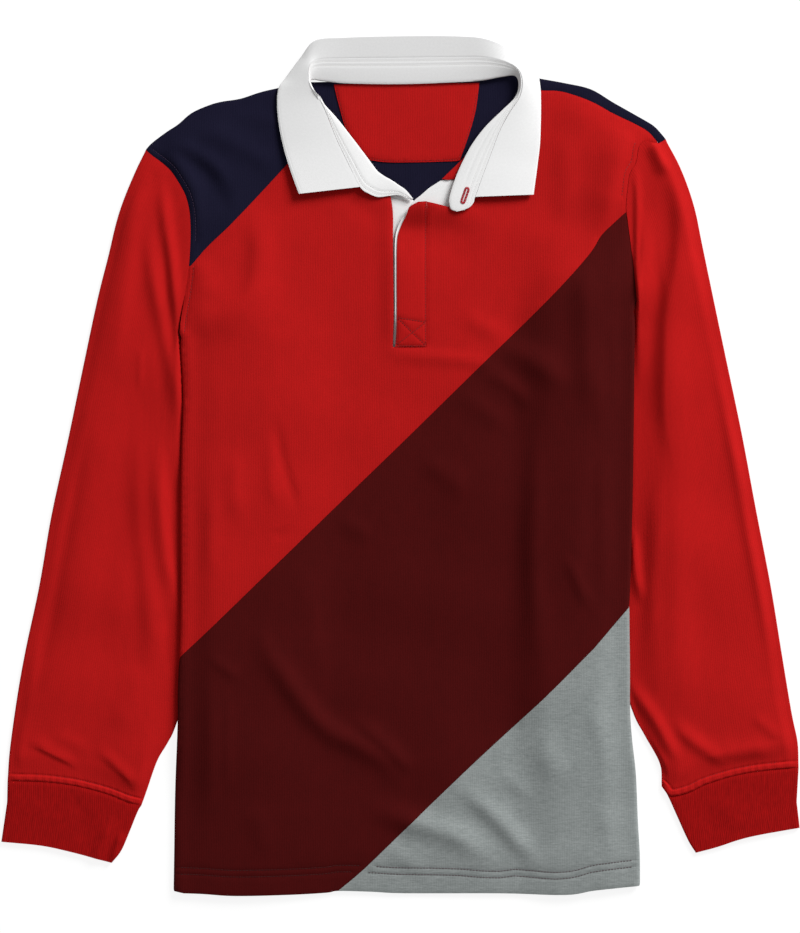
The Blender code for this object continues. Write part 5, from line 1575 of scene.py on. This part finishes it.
# %% Curves of the collar
STATION_STEPS = 9
stations = np.array(COLLAR, float)
band = rounded(np.concatenate([LEFT_BAND_END, stations[:, :6], RIGHT_BAND_END]), STATION_STEPS)
neck_seam, stand_edge = band[:, :3], band[:, 3:]
fall = rounded(stations, STATION_STEPS)
solid, tongue = np.clip(fall[:, 9], 0, 1), np.maximum(fall[:, 10], 0)
first = len(LEFT_BAND_END) * STATION_STEPS
leaf_part = slice(first, first + len(fall))  # the part of the band that the leaf folds out of
print("the collar has", len(band), "sections, and its leaf", len(fall))

# %% Stand: its upper face
STAND_ACROSS = 22
STAND_SWELL = 0.35
STAND_LINES = (0.88, 0.7)  # shares across the stand of its two stitch lines
share = np.linspace(0, 1, STAND_ACROSS)[None, :, None]
stand = neck_seam[:, None] * (1 - share) + stand_edge[:, None] * share
stand[..., 2] += STAND_SWELL * np.sin(math.pi * share[..., 0])
stand_x, stand_y = stand[..., 0], stand[..., 1]
on_right = smooth(30, 60, stand_x) * smooth(262, 290, stand_y) * (1 - smooth(352, 372, stand_y))
for line, depth in ((STAND_LINES[0], 0.3), (STAND_LINES[1], 0.3), (0.42, 0.35 * on_right)):
    stand[..., 2] -= depth * np.exp(-(((share[..., 0] - line) / 0.035) ** 2))
print("the stand rises to", round(float(stand[..., 2].max()), 1), "mm")

# %% Stand: its thickness
upright = np.zeros(len(band))  # 1 behind the neck, where the wall is measured straight down
upright[leaf_part] = solid
down = normals(stand) * (1 - upright)[:, None, None] + np.array([0, 0, 1.0]) * upright[:, None, None]
down /= np.linalg.norm(down, axis=2)[..., None]
round_off = 0.4 * (1 - smooth(0, 0.07, share)) + 0.12 * (1 - smooth(0, 0.06, 1 - share))
stand_ring = np.concatenate([
    stand - down * round_off, (stand - down * (TWILL - 0.6 * round_off))[:, ::-1],
], axis=1)
stand_map = surface_map(stand)
stand_piece = loft(
    "collar_stand_cloth", stand_ring, np.concatenate([stand_map, stand_map[:, ::-1]], axis=1), WHITE_TWILL
)
PIECES["collar_stand"] = (
    stand_piece, "white_twill", (metres(stand_map[-1, 0, 0]), metres(stand_map[..., 1].max())),
    square_metres(grid_area(stand)), ["front_chest_panel_cloth", "back_panel_cloth"],
)
print("collar stand", round(stand_map[-1, 0, 0]), "mm round its middle")

# %% Leaf: its upper face
LEAF_ACROSS = 34
LEAF_CLEAR = TWILL + 0.1  # how far it keeps off a steep stand
LEAF_BULGE = 0.08
EDGE_SHARES = [0.935, 0.95, 0.962, 0.974, 0.987, 1]  # close rows at its edge
start, edge = fall[:, 3:6], fall[:, 6:9]
away = edge - start
away[:, 2] = 0
away /= np.linalg.norm(away, axis=1)[:, None]
wall = (stand_edge - neck_seam)[leaf_part]
steep = np.clip(wall[:, 2] / np.linalg.norm(wall, axis=1), 0, 1) * (1 - solid)
start = start + away * (0.1 + LEAF_CLEAR * steep)[:, None]
share = np.concatenate([np.linspace(0, 0.92, LEAF_ACROSS - len(EDGE_SHARES)), EDGE_SHARES])[None, :]
leaf = start[:, None] * (1 - share[..., None]) + edge[:, None] * share[..., None]
bulge = LEAF_BULGE * (start[:, 2] - edge[:, 2] + 4)
leaf[..., 2] += bulge[:, None] * np.sin(math.pi * share) * (1 - 0.4 * solid[:, None])
leaf_round = 0.55 * (1 - smooth(0, 0.04, 1 - share)) + 0.1 * (1 - smooth(0, 0.05, share))
edge_line = 0.16 * np.exp(-(((share - 0.95) / 0.012) ** 2)) * (1 - solid[:, None])  # its edge stitching
leaf_round = leaf_round + edge_line
print("the leaf rises to", round(float(leaf[..., 2].max()), 1), "mm")

# %% Leaf: its underside
depth = leaf[..., 2] * solid[:, None] + TWILL * (1 - solid[:, None])
under = leaf.copy()
under[..., 2] = np.maximum(leaf[..., 2] - depth, 0)
leaf[..., 2] -= leaf_round
under[:, -1, :2] -= away[:, :2] * (0.5 + 0.6 * solid[:, None])
root, thick = under[:, 0], leaf[:, 0, 2] - under[:, 0, 2]
lift_up, turned_in = np.minimum(1.2, 0.5 * thick), np.clip(tongue, 0, 1)
tongue_low = root - away * tongue[:, None]
tongue_high = tongue_low.copy()
tongue_low[:, 2] = root[:, 2] + lift_up * 0.25 * (1 - turned_in)
tongue_high[:, 2] = root[:, 2] + lift_up * (0.7 + 0.3 * turned_in)
print("its edge turns in by up to", round(float(tongue.max())), "mm behind the neck")

# %% Leaf: the folded wall behind the neck, open beneath
hollow = smooth(0.3, 0.8, solid)[:, None]
run = np.linalg.norm((under[:, -1] - root)[:, :2], axis=1)[:, None]
inward = hollow * (run - TWILL) / run
floor = root * (1 - inward) + under[:, -1] * inward
roof = leaf[:, 0] * (1 - inward) + leaf[:, -1] * inward
corner_low, corner_high, root_under = floor.copy(), floor.copy(), root.copy()
hollow = hollow[:, 0]
for corner, share_up, inner in (
    (corner_low, 0.55, floor[:, 2] + 1.2), (corner_high, 0.7, roof[:, 2] - TWILL),
    (root_under, 0.85, leaf[:, 0, 2] - TWILL),
):
    corner[:, 2] = (root[:, 2] + share_up * thick) * (1 - hollow) + inner * hollow
turned = np.stack([tongue_low, tongue_high, corner_low, corner_high, root_under], axis=1)
leaf_ring = np.concatenate([leaf, under[:, ::-1], turned], axis=1)
print("sections of", leaf_ring.shape[1], "points")

# %% Leaf: the piece
leaf_map = surface_map(leaf)
edge_map = np.repeat(leaf_map[:, :1], turned.shape[1], axis=1)
ring_map = np.concatenate([leaf_map, leaf_map[:, ::-1], edge_map], axis=1)
leaf_piece = loft("collar_leaf_cloth", leaf_ring, ring_map, WHITE_TWILL)
leaf_area = grid_area(np.concatenate([leaf_ring, leaf_ring[:, :1]], axis=1)) / 2  # with the wall folded back
PIECES["collar_leaf"] = (
    leaf_piece, "white_twill", (metres(leaf_map[-1, 0, 0]), metres(leaf_map[..., 1].max())),
    square_metres(leaf_area), ["front_chest_panel_cloth", "table_top"],
)
print("collar leaf", round(leaf_map[-1, 0, 0]), "mm round its middle")

# %% [markdown]
# ## Sewing
#
# Lockstitch shows as short floats of thread with small gaps. Each stitch is a little spindle of four sides:
# its radius swells from the ends to the middle. One array of spindles follows each sewing line.

# %% Stitches along a line
SPINDLE_ALONG = np.array([-0.5, -0.3, 0.3, 0.5])  # where its rings of points lie, in shares of its length
SPINDLE_SWELL = np.array([0.35, 1.0, 1.0, 0.35])  # their radii, in shares of its own
SPINDLE_TURN = np.radians([45, 135, 225, 315])
numbers = np.arange(16).reshape(4, 4)
SPINDLE_FACES = np.concatenate([ring_quads(numbers[:-1], numbers[1:]), [numbers[0, ::-1], numbers[-1]]])


def spindles(line, pitch, share, radius):
    """Points of one line's stitches, 16 to each: centre + t along + r(t) (cos a across + sin a up)."""
    length = np.linalg.norm(np.diff(line, axis=0), axis=1).sum()
    marks = resampled(line, 2 * max(2, int(round(length / pitch))) + 1)
    along = marks[2::2] - marks[:-2:2]
    size = np.linalg.norm(along, axis=1)[:, None]
    along = along / size
    across = np.cross(along, [0, 0, 1.0])
    across /= np.linalg.norm(across, axis=1)[:, None]
    up = np.cross(across, along)
    centre, size, along, across, up = (a[:, None, None] for a in (marks[1::2], size, along, across, up))
    turn, at = SPINDLE_TURN[None, None, :, None], (SPINDLE_ALONG * share)[None, :, None, None]
    ring = across * np.cos(turn) + up * np.sin(turn)
    return (centre + along * at * size + ring * (radius * SPINDLE_SWELL)[None, :, None, None]).reshape(-1, 3)


def stitched(name, lines, material, pitch=3.0, share=0.74, radius=0.24):
    """A mesh of stitches along 3-D lines: pitch from one to the next, each a share of it long."""
    points = np.concatenate([spindles(line, pitch, share, radius) for line in lines])
    count = len(points) // numbers.size
    faces = (SPINDLE_FACES + numbers.size * np.arange(count)[:, None, None]).reshape(-1, 4)
    piece = add_mesh(name, points, faces[:, ::-1].tolist(), points[:, :2], material)
    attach(piece, "root")
    print(name, "has", count, "stitches")
    return piece


def on_top(line, top, raise_by=-0.12):
    """The plan line laid on a surface, in steps of 1.5 mm, and pressed in a little."""
    line = resampled(line, max(4, int(np.linalg.norm(np.diff(line, axis=0), axis=1).sum() / 1.5)))
    return np.column_stack([line, top(line[:, 0], line[:, 1]) + raise_by])


# %% Stitches of the body
SEWN = {}  # by the name of the piece that they are sewn on
SEWN["front_corner_panel"] = stitched(
    "hem_stitches_grey", [on_top(line, front_top) for line in twin_lines((-27, 229), (-35, 229))],
    HEM_THREAD, radius=0.36,
)
SEWN["front_middle_panel"] = stitched(
    "hem_stitches_maroon", [on_top(line, front_top) for line in twin_lines((-216, -38), (-216, -46))],
    MAROON_THREAD,
)
SEWN["front_shoulder_panel"] = stitched(
    "armhole_stitches_navy", [on_top(line, front_top) for line in NAVY_STITCHES], NAVY_THREAD,
)
SEWN["front_chest_panel"] = stitched(
    "armhole_stitches_red", [on_top(line, front_top) for line in RED_STITCHES], RED_THREAD,
)
SEWN["placket_overlap"] = stitched(
    "placket_stitches", [on_top(line, overlap_top, 0.0) for line in BOX_STITCH], RED_THREAD, pitch=BOX_PITCH,
    radius=0.28,
)
SEWN["back_neck_patch"] = stitched(
    "patch_stitches", [on_top(PATCH_STITCH, patch_top)], RED_THREAD, pitch=2.6, radius=0.2,
)


# %% Stitches of the collar and cuffs
def on_grid(face, across_share, rows):
    """A line along a grid surface at one share across."""
    at = across_share * (face.shape[1] - 1)
    low = int(at)
    line = face[rows, low] * (low + 1 - at) + face[rows, low + 1] * (at - low)
    line[:, 2] += 0.02
    return line


def far_in(height):
    """A sleeve's height 40 mm inside its long edges, from x and y alone."""
    return lambda x, y: height(x, y, np.full(x.shape, 40.0), np.full(x.shape, 40.0))


stand_rows = slice(4, len(stand) - 4)
SEWN["collar_stand"] = stitched(
    "collar_stand_stitches", [on_grid(stand, share, stand_rows) for share in STAND_LINES], WHITE_THREAD,
    pitch=2.4, radius=0.17,
)
for name, side, seam, top in (
    ("sleeve_left", -1, LEFT_CUFF_SEAM, LEFT_TOP), ("sleeve_right", 1, RIGHT_CUFF_SEAM, RIGHT_TOP),
):
    line = shifted(seam, -side * CUFF_BAND)[4:-4]
    SEWN[name] = stitched(name + "_stitches", [on_top(line, far_in(top), 0.0)], RED_THREAD, radius=0.22)

# %% Buttonhole on the stand's end
HOLE_FROM, HOLE_TO = np.array([65.9, 270.5]), np.array([60.2, 254.0])  # its two ends, mm
HOLE_IN, HOLE_OUT = 0.5, 2.6  # the bars of thread lie between these distances from its slit
BAR_PITCH, END_BARS = 0.62, 8  # mm from one bar to the next, and how many fan round each end
hole_long = np.linalg.norm(HOLE_TO - HOLE_FROM)
hole_axis = (HOLE_TO - HOLE_FROM) / hole_long
hole_side = np.array([-hole_axis[1], hole_axis[0]])


def stand_height(x, y):
    """Height of the stand's upper face at the nearest of its points."""
    flat = stand.reshape(-1, 3)
    near = ((flat[None, :, :2] - np.stack([x, y], axis=1)[:, None]) ** 2).sum(axis=2).argmin(axis=1)
    return flat[near, 2]


def bar(middle, direction):
    """One bar of the satin stitch, out from the slit."""
    ends = middle + direction * np.array([[HOLE_IN], [(HOLE_IN + HOLE_OUT) / 2], [HOLE_OUT]])
    return np.column_stack([ends, stand_height(ends[:, 0], ends[:, 1]) + 0.25])


bars = []
for along in np.arange(HOLE_OUT, hole_long - HOLE_OUT, BAR_PITCH):
    wander = 0.35 * math.sin(2.1 * along) * hole_axis
    bars += [bar(HOLE_FROM + hole_axis * along + wander, side * hole_side) for side in (-1, 1)]
for end, turned in ((HOLE_FROM + hole_axis * HOLE_OUT, math.pi), (HOLE_TO - hole_axis * HOLE_OUT, 0)):
    for angle in turned + np.linspace(-1.4, 1.4, END_BARS):
        bars.append(bar(end, hole_axis * math.cos(angle) + hole_side * math.sin(angle)))
buttonhole = stitched("buttonhole", bars, BUTTONHOLE_THREAD, pitch=1.0, share=1.15, radius=0.42)

# %% Seat every piece in the frame
WITH = {name: [piece] for name, piece in SEWN.items()}
WITH["collar_stand"].append(buttonhole)
for name, (piece, slot, flat, area, rests_on) in PIECES.items():
    seat(piece, name)
    print(name, "cut", flat, "m, area", area)

# %% The end of the build
print("the shirt is built")
